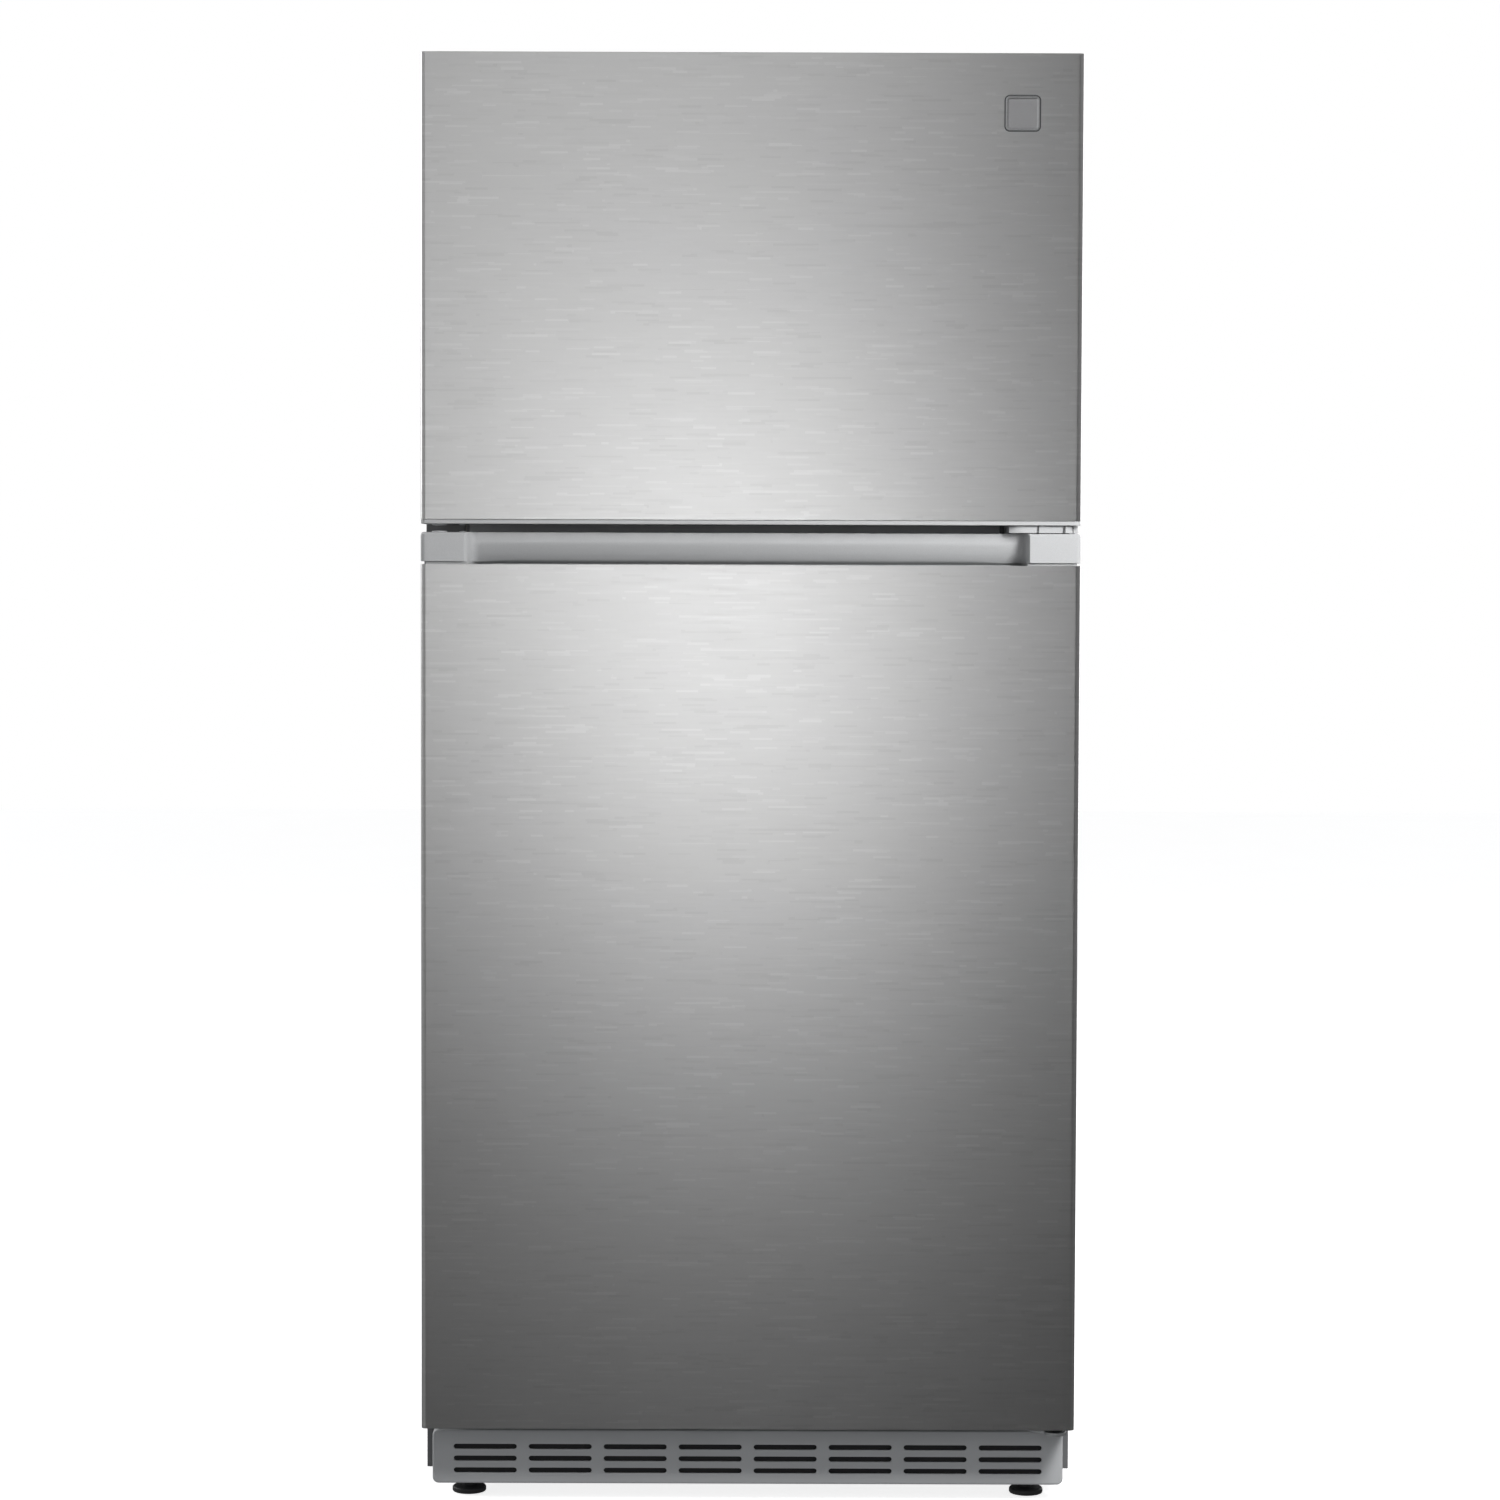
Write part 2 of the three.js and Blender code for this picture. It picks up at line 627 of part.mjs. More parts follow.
function lampHousing() {
  const { half, front, back, low, switchX } = LAMP;
  const high = FRIDGE.high - GAP;
  const shell = cut(
    block(both(half), [front, back], [low, high]),
    block(both(half - WALL), [front + WALL, back - WALL], [low + WALL, high + 1]),
  );
  const sleeve = block([switchX - 14, switchX + 14], [front - 10, front + 12], [low + 2, low + 24]);
  return cut(shell.add(sleeve), rod("y", 5.2, [front - 11, front + 13], [switchX, low + 13]));
}

// A round knob about the Y axis with a finger ridge; its origin is the middle of its back face
function knob(radius) {
  const dial = rod("y", radius, [-6, 0], [0, 0], 24);
  return dial.add(block(both(3), [-12, -5], both(radius - 2)));
}

// Machine compartment

const COMPRESSOR = { x: 180, y: 290 };

function compressor() {
  const pot = lathe([
    [0, 84],
    [66, 84],
    [80, 100],
    [80, 190],
    [72, 222],
    [48, 240],
    [0, 246],
  ]);
  const foot = block(both(98), both(72), [80, 85]);
  const box = block([-96, -70], both(26), [120, 180]);
  const grommets = [-84, 84].flatMap((x) => [-58, 58].map((y) => rod("z", 10, [72.4, 81], [x, y], 12)));
  return join(pot, foot, box, ...grommets);
}

// A tube that runs to and fro, with upright links at alternate ends
function condenserCoil() {
  const tube = 4;
  const pitch = 24;
  const passes = 7;
  const ends = [-330, -150];
  const layers = [215, 255].map((y) => {
    const runs = [];
    for (let i = 0; i < passes; i++) {
      const z = 104 + i * pitch;
      runs.push(rod("x", tube, ends, [y, z], 6));
      const end = ends[i % 2] + (i % 2 ? -tube : tube);
      if (i < passes - 1) runs.push(rod("z", tube - 0.2, [z, z + pitch], [end, y], 6));
    }
    return join(...runs);
  });
  const link = rod("y", tube - 0.4, [215, 255], [ends[0] + 20, 104 + (passes - 1) * pitch], 6);
  return join(...layers, link);
}

const COOLING_FAN = { x: -100, y: 250, z: 180, radius: 62 };

// A shroud plate with a round opening, and the motor on two struts behind it
function condenserFanMotor() {
  const { x, y, z, radius } = COOLING_FAN;
  const plate = block([x - 2, x + 1], [185, 330], [72.4, 285]);
  const opening = rod("x", radius + 4, [x - 5, x + 5], [y, z], 28);
  const can = rod("x", 24, [x + 34, x + 66], [y, z]);
  const strut = (side) => block([x, x + 50], [y + side * 70 - 3, y + side * 70 + 3], [z - 5, z + 5]);
  const bar = block([x + 40, x + 50], [y - 73, y + 73], [z - 5, z + 5]);
  const shaft = rod("x", 3, [x + 14, x + 35], [y, z], 12);
  return join(cut(plate, opening), can, strut(1), strut(-1), bar, shaft);
}

function drainPan() {
  const outer = block([-345, -125], [190, 370], [72.4, 92]);
  return cut(outer, block([-343, -127], [192, 368], [74.4, 93]));
}

const GLAND = { x: -300, z: 120, radius: 9 };

function machineCover() {
  const z = [76, 296];
  const y = [CASE_REAR + 0.5, BACK];
  const half = 370;
  const hollow = block(both(half - 2), [y[0] - 1, y[1] - 2], [z[0] + 2, z[1] - 2]);
  const louvres = slots(210, 7, 16, 110, 5, [BACK - 4, BACK + 1], spread(5, 135));
  const hole = rod("y", GLAND.radius + GAP, [BACK - 5, BACK + 1], [GLAND.x, GLAND.z], 16);
  return cut(block(both(half), y, z), hollow, ...louvres, hole);
}

function cordGland() {
  const { x, z, radius } = GLAND;
  const sleeve = rod("y", radius, [BACK - 14, BACK], [x, z], 16);
  const collar = rod("y", radius + 4, [BACK - 5.5, BACK - 2.5], [x, z], 16);
  return cut(sleeve.add(collar), rod("y", 4, [BACK - 15, BACK + 1], [x, z], 12));
}

function levelingLeg() {
  const { foot, stem } = LEG;
  const pad = lathe([
    [0, 0],
    [foot - 2, 0],
    [foot, 2],
    [foot, 7],
    [stem, 9],
    [0, 9],
  ]);
  return join(pad, rod("z", 10, [8, 18], [0, 0], 6), rod("z", stem, [17, RAIL.high + 1.2], [0, 0], 16));
}

// A wheel about the Z axis with a bored hub
function roller() {
  const { radius, width, bore: hole } = ROLLER;
  const half = width / 2;
  return lathe([
    [hole, -half],
    [radius - 2, -half],
    [radius, 2 - half],
    [radius, half - 2],
    [radius - 2, half],
    [hole, half],
    [hole, -half],
  ]);
}

// The assembly, one group for each thing that comes off or moves as a unit

function cabinetGroup() {
  const group = new THREE.Group();
  group.add(piece("cabinet_shell", cabinetShell(), "case"));
  group.add(piece("back_panel", backPanel(), "zinc"));
  group.add(piece("base_frame", baseFrame(), "zinc"));
  group.add(piece("cabinet_foam", cabinetFoam(), "foam"));
  group.add(piece("freezer_liner", freezerLiner(), "white"));
  group.add(piece("fridge_liner", fridgeLiner(), "white"));
  group.add(piece("mullion_cover", mullionCover(), "case"));
  group.add(piece("toe_grille", toeGrille(), "grey"));
  group.add(piece("top_hinge", topHinge(), "zinc"));
  group.add(piece("top_hinge_cover", topHingeCover(), "grey"));
  group.add(piece("center_hinge", centreHinge(), "zinc"));
  group.add(piece("bottom_hinge", bottomHinge(), "zinc"));
  for (const [name, side] of [["left", -1], ["right", 1]]) {
    group.add(piece("leveling_leg_" + name, levelingLeg(), "black", [side * LEG.x, LEG.y, 0]));
    const wheel = piece("rear_roller_" + name, roller(), "black", [side * ROLLER.x, ROLLER.y, ROLLER.radius]);
    wheel.rotation.y = Math.PI / 2;
    group.add(wheel);
  }
  return group;
}

function machineGroup() {
  const group = new THREE.Group();
  group.add(piece("compressor", compressor(), "black", [COMPRESSOR.x, COMPRESSOR.y, 0]));
  group.add(piece("condenser_coil", condenserCoil(), "copper"));
  group.add(piece("condenser_fan_motor", condenserFanMotor(), "zinc"));
  const { x, y, z, radius } = COOLING_FAN;
  const blades = piece("condenser_fan", fan(radius, 5), "black", [x + 18, y, z]);
  blades.rotation.y = -Math.PI / 2;
  group.add(blades);
  group.add(piece("drain_pan", drainPan(), "grey"));
  group.add(piece("machine_cover", machineCover(), "grey"));
  group.add(piece("cord_gland", cordGland(), "black"));
  return group;
}

function insideGroup() {
  const group = new THREE.Group();
  group.add(piece("evaporator_cover", evaporatorCover(), "white"));
  group.add(piece("evaporator_coil", evaporatorCoil(), "aluminium"));
  group.add(piece("evaporator_fan_motor", evaporatorFanMotor(), "zinc"));
  const blades = piece("evaporator_fan", fan(48, 4), "white", [0, 276, EVAPORATOR.fanZ]);
  blades.rotation.x = Math.PI / 2;
  group.add(blades);
  group.add(piece("fridge_air_duct", fridgeAirDuct(), "white"));
  group.add(piece("lamp_housing", lampHousing(), "white"));
  const tip = DYKE.rear + 0.4;
  const switchAt = [LAMP.switchX, tip, LAMP.low + 13];
  group.add(piece("light_switch", rod("y", 4.5, [0, 24], [0, 0], 16), "white", switchAt));
  const knobAt = [LAMP.knobX, LAMP.front - GAP, LAMP.low + 15];
  group.add(piece("fridge_knob", knob(13), "grey", knobAt));
  group.add(piece("freezer_knob", knob(18), "grey", [-200, EVAPORATOR.front - GAP, 1330]));
  group.add(piece("freezer_shelf", freezerShelf(), "glass"));
  ["upper_shelf", "lower_shelf", "crisper_cover"].forEach((name, i) => {
    group.add(piece(name + "_frame", shelfFrame(SHELF_LEVELS[i]), "white"));
    group.add(piece(name + "_glass", shelfGlass(SHELF_LEVELS[i]), "glass"));
  });
  for (const [name, side] of [["left", -1], ["right", 1]]) {
    const at = [side * CRISPER.centre, CRISPER.front, CRISPER.low];
    group.add(piece("crisper_" + name, crisper(), "clear", at));
  }
  return group;
}

function binPieces(bins) {
  return Object.entries(bins).map(([name, [low, high]]) =>
    piece(name, bin(high - low), "clear", [0, BIN.rear, low]),
  );
}

function freezerDoorGroup() {
  const { low, skinLow, deck: top } = FREEZER_DOOR;
  const core = [skinLow + GRIP.height + 0.4, top - CAP - 0.4];
  const group = new THREE.Group();
  group.add(piece("freezer_door_skin", freezerSkin(), "steel"));
  group.add(piece("freezer_door_foam", doorFoam(core), "foam"));
  group.add(piece("freezer_door_liner", doorLiner([low, top], [1200, 1592], FREEZER_BINS), "white"));
  group.add(piece("freezer_door_gasket", gasket([low, top]), "rubber"));
  group.add(piece("freezer_door_top_cap", freezerTopCap(), "silver"));
  group.add(piece("freezer_door_bottom_cap", freezerBottomCap(), "silver"));
  group.add(piece("badge", badge(), "steel"));
  group.add(...binPieces(FREEZER_BINS));
  return group;
}

function fridgeDoorGroup() {
  const { low, high, skinHigh } = FRIDGE_DOOR;
  const core = [low + CAP + 0.4, skinHigh - GRIP.depth - 0.4];
  const group = new THREE.Group();
  group.add(piece("fridge_door_skin", doorSkin([low, skinHigh]), "steel"));
  group.add(piece("fridge_door_foam", doorFoam(core), "foam"));
  group.add(piece("fridge_door_liner", doorLiner([low, high], [170, 1078], FRIDGE_BINS), "white"));
  group.add(piece("fridge_door_gasket", gasket([low, high]), "rubber"));
  group.add(piece("fridge_door_handle", fridgeHandle(), "silver"));
  group.add(piece("fridge_door_bottom_cap", fridgeBottomCap(), "silver"));
  group.add(...binPieces(FRIDGE_BINS));
  const [, dairyTop] = FRIDGE_BINS.dairy_bin;
  group.add(piece("dairy_lid", dairyLid(), "clear", [0, BIN.rear + 7, dairyTop + 8]));
  return group;
}

const refrigerator = new THREE.Group();
refrigerator.add(cabinetGroup(), machineGroup(), insideGroup(), freezerDoorGroup(), fridgeDoorGroup());

export default refrigerator;
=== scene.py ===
"""The looks of a top freezer refrigerator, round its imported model. Metres, +Z up, the doors face -Y."""

import json
import math

import bmesh
import bpy
from mathutils import Matrix, Vector


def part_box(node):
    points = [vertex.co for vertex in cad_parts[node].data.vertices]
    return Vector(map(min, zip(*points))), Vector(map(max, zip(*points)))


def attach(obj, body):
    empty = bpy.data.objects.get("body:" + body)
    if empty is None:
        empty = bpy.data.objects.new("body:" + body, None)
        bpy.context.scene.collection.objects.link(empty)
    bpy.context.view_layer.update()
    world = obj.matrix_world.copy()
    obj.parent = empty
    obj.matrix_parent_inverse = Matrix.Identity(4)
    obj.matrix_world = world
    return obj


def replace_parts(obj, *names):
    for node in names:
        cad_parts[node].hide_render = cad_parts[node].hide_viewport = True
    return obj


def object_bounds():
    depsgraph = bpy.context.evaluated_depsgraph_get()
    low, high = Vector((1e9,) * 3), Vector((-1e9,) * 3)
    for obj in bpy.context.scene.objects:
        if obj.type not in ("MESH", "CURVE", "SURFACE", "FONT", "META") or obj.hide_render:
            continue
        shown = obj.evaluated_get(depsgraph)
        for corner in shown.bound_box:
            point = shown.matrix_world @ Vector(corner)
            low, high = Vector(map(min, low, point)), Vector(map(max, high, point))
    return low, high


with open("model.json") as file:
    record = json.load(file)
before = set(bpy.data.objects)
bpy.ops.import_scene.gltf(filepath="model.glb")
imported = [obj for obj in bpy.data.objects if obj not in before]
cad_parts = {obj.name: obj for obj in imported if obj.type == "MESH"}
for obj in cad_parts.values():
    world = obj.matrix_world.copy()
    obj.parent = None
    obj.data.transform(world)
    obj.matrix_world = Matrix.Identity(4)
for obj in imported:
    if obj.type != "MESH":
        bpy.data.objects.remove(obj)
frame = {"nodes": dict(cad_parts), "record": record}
cad_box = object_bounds()
RECORD = frame["record"]
BODY_OF = {node: body for body, nodes in RECORD["behaviour"]["bodies"].items() for node in nodes}
SLOT_OF = {row["node"]: row["material_slot"] for row in RECORD["subparts"]}
MM = 0.001
JOINTS = {joint["name"]: joint for joint in RECORD["behaviour"]["joints"]}


def configure(thing, **settings):
    for key, value in settings.items():
        setattr(thing, key, value)
    return thing


# ---------------------------------------------------------------- materials


def wire(look, socket, value):
    """Feeds a socket with another node's output, or sets it to a plain value."""
    if isinstance(value, bpy.types.NodeSocket):
        look.node_tree.links.new(value, socket)
    else:
        socket.default_value = value


def add_node(look, kind, inputs=None, **settings):
    """A node with its settings and inputs, in a material or a world. Gives back its outputs."""
    node = configure(look.node_tree.nodes.new("ShaderNode" + kind), **settings)
    for key, value in (inputs or {}).items():
        wire(look, node.inputs[key], value)
    return node.outputs


def feed(look, socket, value):
    """Feeds a socket of a material's shader."""
    wire(look, look.node_tree.nodes["Principled BSDF"].inputs[socket], value)


def plain(name, colour, roughness, metallic=0.0, **sockets):
    """A material whose even values sit on the shader's own sockets."""
    look = bpy.data.materials.new(name)
    look.use_nodes = True
    values = {"Base Color": (*colour, 1), "Roughness": roughness, "Metallic": metallic, **sockets}
    for socket, value in values.items():
        feed(look, socket.replace("_", " "), value)
    return look


def place(look, stretch=(1, 1, 1)):
    """Object space, multiplied along each axis."""
    inputs = {"Vector": add_node(look, "TexCoord")["Object"], "Scale": stretch}
    return add_node(look, "Mapping", inputs)["Vector"]


def noise(look, scale, stretch=(1, 1, 1), detail=2.0):
    inputs = {"Vector": place(look, stretch), "Scale": scale, "Detail": detail}
    return add_node(look, "TexNoise", inputs)["Fac"]


def cells(look, scale, output="Color"):
    return add_node(look, "TexVoronoi", {"Vector": place(look), "Scale": scale})[output]


def spread(look, factor, low, high, start=0.3, end=0.7):
    """The factor, stretched from start..end to low..high."""
    inputs = {"Value": factor, "From Min": start, "From Max": end, "To Min": low, "To Max": high}
    return add_node(look, "MapRange", inputs)["Result"]


def calculate(look, operation, first, second=0.5):
    return add_node(look, "Math", {0: first, 1: second}, operation=operation)["Value"]


def random_of(look, value):
    return add_node(look, "TexWhiteNoise", {"W": value}, noise_dimensions="1D")["Value"]


def ramp_colour(look, factor, stops):
    """Colours the surface by a ramp with one (position, colour) pair for each stop."""
    colour = add_node(look, "ValToRGB", {"Fac": factor})["Color"]
    elements = colour.node.color_ramp.elements
    for _ in stops[2:]:
        elements.new(0.5)
    for element, (position, shade) in zip(elements, stops):
        configure(element, position=position, color=(*shade, 1))
    feed(look, "Base Color", colour)


def vary_colour(look, factor, dark, light):
    ramp_colour(look, factor, [(0.3, dark), (0.7, light)])


def vary_roughness(look, factor, low, high):
    feed(look, "Roughness", spread(look, factor, low, high))


def bump(look, factor, strength, depth):
    """Relief from a factor, with its depth in metres."""
    inputs = {"Height": factor, "Strength": strength, "Distance": depth}
    feed(look, "Normal", add_node(look, "Bump", inputs)["Normal"])


def dashes(look, length, height):
    """Straight level dashes of one length and height in metres, each with a random value."""
    longest_shift, row_step = 9.0, 57.31
    x, y, z = add_node(look, "SeparateXYZ", {"Vector": add_node(look, "TexCoord")["Object"]})
    row = calculate(look, "FLOOR", calculate(look, "DIVIDE", z, height))
    along = calculate(look, "DIVIDE", calculate(look, "ADD", x, y), length)
    shift = calculate(look, "MULTIPLY", random_of(look, row), longest_shift)
    column = calculate(look, "FLOOR", calculate(look, "ADD", along, shift))
    return random_of(look, calculate(look, "ADD", calculate(look, "MULTIPLY", row, row_step), column))


def brushed_steel(name):
    """Stainless sheet, brushed from side to side: faint level strokes over fine hairlines."""
    look = plain(name, (0.6, 0.6, 0.6), 0.29, 1.0, Anisotropic=0.5, Anisotropic_Rotation=0.25)
    strokes = calculate(look, "ADD", dashes(look, 0.055, 0.0034), dashes(look, 0.026, 0.0026))
    hairlines = noise(look, 1.0, (14, 14, 1300), 1.0)
    greys = ((0.1, 0.565), (0.25, 0.595), (0.75, 0.605), (0.92, 0.65))
    stops = [(at, (grey, grey, grey)) for at, grey in greys]
    ramp_colour(look, calculate(look, "MULTIPLY", strokes, 0.5), stops)
    vary_roughness(look, hairlines, 0.275, 0.305)
    bump(look, hairlines, 0.03, 0.00002)
    return look


def silver_paint(name):
    """Silver painted plastic with a fine metallic flake."""
    look = plain(name, (0.45, 0.455, 0.46), 0.36, 0.1, Coat_Weight=0.15, Coat_Roughness=0.25)
    vary_colour(look, cells(look, 2600), (0.425, 0.43, 0.435), (0.475, 0.48, 0.485))
    vary_roughness(look, noise(look, 60), 0.3, 0.4)
    bump(look, noise(look, 500), 0.06, 0.0001)
    return look


def pebbled(name, colour, roughness, grain, depth):
    """A moulded or painted surface with a fine pebble grain and a faint change of tone."""
    look = plain(name, colour, roughness)
    dark, light = (tuple(share * part for part in colour) for share in (0.975, 1.025))
    vary_colour(look, noise(look, 9, detail=4.0), dark, light)
    vary_roughness(look, noise(look, 40), roughness - 0.02, roughness + 0.03)
    bump(look, noise(look, grain, detail=1.0), 0.35, depth)
    return look


def galvanised(name):
    """Zinc coated sheet with its crystal spangle."""
    look = plain(name, (0.6, 0.62, 0.63), 0.4, 0.85)
    spangle = cells(look, 160)
    vary_colour(look, spangle, (0.56, 0.575, 0.585), (0.63, 0.64, 0.65))
    vary_roughness(look, spangle, 0.36, 0.46)
    bump(look, noise(look, 200), 0.08, 0.0001)
    return look


def clear(name, colour, roughness, ior, wave):
    """Glass or clear plastic, with a faint waviness and smudges."""
    look = plain(name, colour, roughness, Transmission_Weight=1.0, IOR=ior)
    vary_roughness(look, noise(look, 14, detail=4.0), roughness, roughness + 0.05)
    bump(look, noise(look, 25), 0.05, wave)
    return look


def bare_metal(name, dark, light, roughness, stretch=(1, 1, 1), depth=0.0001):
    look = plain(name, light, roughness, 1.0)
    grain = noise(look, 60, stretch, 4.0)
    vary_colour(look, grain, dark, light)
    vary_roughness(look, grain, roughness - 0.06, roughness + 0.12)
    bump(look, grain, 0.08, depth)
    return look


def rigid_foam(name):
    look = plain(name, (0.82, 0.72, 0.46), 0.9)
    bubbles = cells(look, 900, "Distance")
    vary_colour(look, bubbles, (0.74, 0.63, 0.38), (0.86, 0.77, 0.52))
    bump(look, bubbles, 0.5, 0.0005)
    return look


def frosted_lens(name):
    """Milky plastic, lit from inside, with fine ribs."""
    glow = {"Emission_Strength": 9, "Emission_Color": (1, 0.95, 0.86, 1)}
    look = plain(name, (0.9, 0.91, 0.9), 0.4, Transmission_Weight=0.3, **glow)
    vary_roughness(look, noise(look, 60), 0.35, 0.5)
    bump(look, noise(look, 1.0, (900, 4, 4)), 0.4, 0.0004)
    return look


FINISHES = {
    "stainless_steel": (brushed_steel,),
    "badge_metal": (bare_metal, (0.55, 0.55, 0.56), (0.58, 0.58, 0.59), 0.3, (40, 40, 40), 0.00001),
    "silver_plastic": (silver_paint,),
    "case_paint": (pebbled, (0.2, 0.204, 0.21), 0.45, 700, 0.0002),
    "zinc_steel": (galvanised,),
    "white_plastic": (pebbled, (0.84, 0.85, 0.85), 0.34, 900, 0.00002),
    "grey_plastic": (pebbled, (0.66, 0.67, 0.68), 0.5, 1200, 0.0001),
    "gasket_rubber": (pebbled, (0.36, 0.365, 0.37), 0.62, 1500, 0.0001),
    "foam": (rigid_foam,),
    "shelf_glass": (clear, (0.9, 0.97, 0.945), 0.01, 1.52, 0.0001),
    "clear_plastic": (clear, (0.93, 0.965, 0.98), 0.05, 1.49, 0.0003),
    "black_paint": (pebbled, (0.014, 0.014, 0.016), 0.3, 300, 0.0001),
    "black_plastic": (pebbled, (0.022, 0.022, 0.024), 0.55, 1500, 0.0001),
    "aluminium": (bare_metal, (0.66, 0.67, 0.68), (0.8, 0.81, 0.82), 0.34),
    "copper": (bare_metal, (0.62, 0.27, 0.14), (0.8, 0.42, 0.26), 0.3),
    "screw_steel": (bare_metal, (0.5, 0.5, 0.51), (0.66, 0.66, 0.67), 0.3),
    "dark_trim": (pebbled, (0.06, 0.062, 0.065), 0.5, 1200, 0.0001),
    "chrome": (bare_metal, (0.7, 0.7, 0.71), (0.8, 0.8, 0.81), 0.16),
    "lamp_lens": (frosted_lens,),
}
MATERIALS = {name: finish(name, *values) for name, (finish, *values) in FINISHES.items()}

# ---------------------------------------------------------------- edges and carried nodes


def modify(thing, kind, **settings):
    return configure(thing.modifiers.new(kind.lower(), kind), **settings)


def dress(thing, slot):
    thing.data.materials.clear()
    thing.data.materials.append(MATERIALS[slot])


def soften(thing, width, segments=2, angle=30):
    """Rounds the edges and evens out the shading."""
    if width:
        limit = {"limit_method": "ANGLE", "angle_limit": math.radians(angle), "miter_outer": "MITER_ARC"}
        modify(thing, "BEVEL", width=width, segments=segments, **limit)
    for face in thing.data.polygons:
        face.use_smooth = True
    modify(thing, "WEIGHTED_NORMAL", keep_sharp=True)


def carry(node, width):
    """Keeps a CAD node, joins its triangles into flat faces, rounds its edges and gives it its material."""
    thing = frame["nodes"][node]
    dress(thing, SLOT_OF[node])
    modify(thing, "WELD", merge_threshold=0.00001)
    modify(thing, "DECIMATE", decimate_type="DISSOLVE", angle_limit=math.radians(1))
    soften(thing, width)


# ---------------------------------------------------------------- shapes, in millimetres: lists of shells


def cad(node):
    """A CAD node's lowest and highest corners, in millimetres."""
    low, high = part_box(node)
    return low / MM, high / MM


def grown(low, high, reach):
    """A box's corners, moved outwards."""
    step = Vector((reach, reach, reach))
    return low - step, high + step


def pivot_of(joint):
    return Vector(JOINTS[joint]["pos_m"]) / MM


def centre_of(node):
    low, high = cad(node)
    return (low + high) / 2


def lift(points, axis, level):
    """Flat points, given in the two other axes in X, Y, Z order, at a level along one axis."""
    at = "xyz".index(axis)
    return [(*pair[:at], level, *pair[at:]) for pair in points]


def flat(point, axis):
    """A point without its coordinate along the axis. A point that is flat already stays as it is."""
    return list(point) if len(point) == 2 else [value for name, value in zip("xyz", point) if name != axis]


def rounded_rectangle(low, high, radius, steps=5):
    """Counterclockwise, from the corner of the lowest values."""
    (u0, v0), (u1, v1) = low, high
    u0, v0, u1, v1 = u0 + radius, v0 + radius, u1 - radius, v1 - radius
    points = []
    for u, v, start in ((u0, v0, 180), (u1, v0, 270), (u1, v1, 0), (u0, v1, 90)):
        for step in range(steps + 1):
            turn = math.radians(start + 90 * step / steps)
            points.append((u + radius * math.cos(turn), v + radius * math.sin(turn)))
    return points


def round_off(points, radius, steps=4):
    """An open line with its corners rounded."""
    points = [Vector(point) for point in points]
    made = [points[0]]
    for before, corner, after in zip(points, points[1:], points[2:]):
        reach = min(radius, 0.49 * (before - corner).length, 0.49 * (after - corner).length)
        start = corner + (before - corner).normalized() * reach
        end = corner + (after - corner).normalized() * reach
        for step in range(steps + 1):
            t = step / steps
            made.append((1 - t) ** 2 * start + 2 * t * (1 - t) * corner + t * t * end)
    return [*made, points[-1]]


def shell(loops, around=True, closed=False, filled=True):
    """Faces between neighbouring loops. closed joins the last loop to the first, filled caps both."""
    return [(loops, around, closed, filled and not closed)]


def joined(shapes):
    return [part for shape in shapes for part in shape]


def prism(outline, axis, levels, **form):
    return shell([lift(outline, axis, level) for level in levels], **form)


def block(x, y, z):
    return prism([(x[0], y[0]), (x[1], y[0]), (x[1], y[1]), (x[0], y[1])], "z", z)


def circle(radius, steps):
    turns = [2 * math.pi * step / steps for step in range(steps)]
    return [(radius * math.cos(turn), radius * math.sin(turn)) for turn in turns]


def lathe(profile, centre, axis="z", steps=32, **form):
    """A profile of (radius, height) points turned about an axis through the centre."""
    rings = [lift(circle(radius, steps), axis, height) for radius, height in profile]
    return shell([[Vector(point) + Vector(centre) for point in ring] for ring in rings], **form)


def pipe(path, radius, sides=10):
    """A round tube along a line of points."""
    path = [Vector(point) for point in path]
    side = (path[1] - path[0]).orthogonal()
    loops = []
    for here, there in zip(path, [*path[1:], 2 * path[-1] - path[-2]]):
        along = (there - here).normalized()
        side = (side - along * side.dot(along)).normalized()
        other = along.cross(side)
        loops.append([here + u * side + v * other for u, v in circle(radius, sides)])
    return shell(loops)


def serpentine(ends, y, levels, bend, radius, sides=10):
    """A tube that runs to and fro between two ends, one run for each level."""
    path = []
    for i, level in enumerate(levels):
        path += [(x, y, level) for x in (ends if i % 2 == 0 else reversed(ends))]
    return pipe(round_off(path, bend), radius, sides)


def ring(axis, low, high, inset, radius, level):
    """A rounded rectangle inside flat corners, at a level along an axis."""
    inner = [value + inset for value in low], [value - inset for value in high]
    return lift(rounded_rectangle(*inner, radius), axis, level)


def nest(axis, low, high, profile, radius, **form):
    """Rounded rectangles inside low..high, one for each (inset, level) pair of the profile."""
    low, high = flat(low, axis), flat(high, axis)
    loops = []
    for inset, level in profile:
        loops.append(ring(axis, low, high, inset, max(radius - inset, 0.6), level))
    return shell(loops, **form)


def above(level, *pairs):
    """Profile points from (inset, rise) pairs over a level."""
    return [(inset, level + rise) for inset, rise in pairs]


def mirrored(outside, width):
    """A profile of (inset, level) pairs and its mirror image, for a strip of this width."""
    return outside + [(width - inset, level) for inset, level in reversed(outside)]


def slot_grid(centres, rows, pitch, width, height, middle):
    """Level slots in rows about a middle height, one column for each centre."""
    columns = [(u - width / 2, u + width / 2) for u in centres]
    return [(u, (v - height / 2, v + height / 2)) for v in spaced(rows, pitch, middle) for u in columns]


def spaced(count, pitch, middle=0.0):
    return [middle + (i - (count - 1) / 2) * pitch for i in range(count)]


def slots(grid, levels):
    """Cutting bars with round ends along Y, one for each slot."""
    shape = []
    for (u0, u1), (v0, v1) in grid:
        radius = 0.49 * min(u1 - u0, v1 - v0)
        shape += prism(rounded_rectangle((u0, v0), (u1, v1), radius, 3), "y", levels)
    return shape


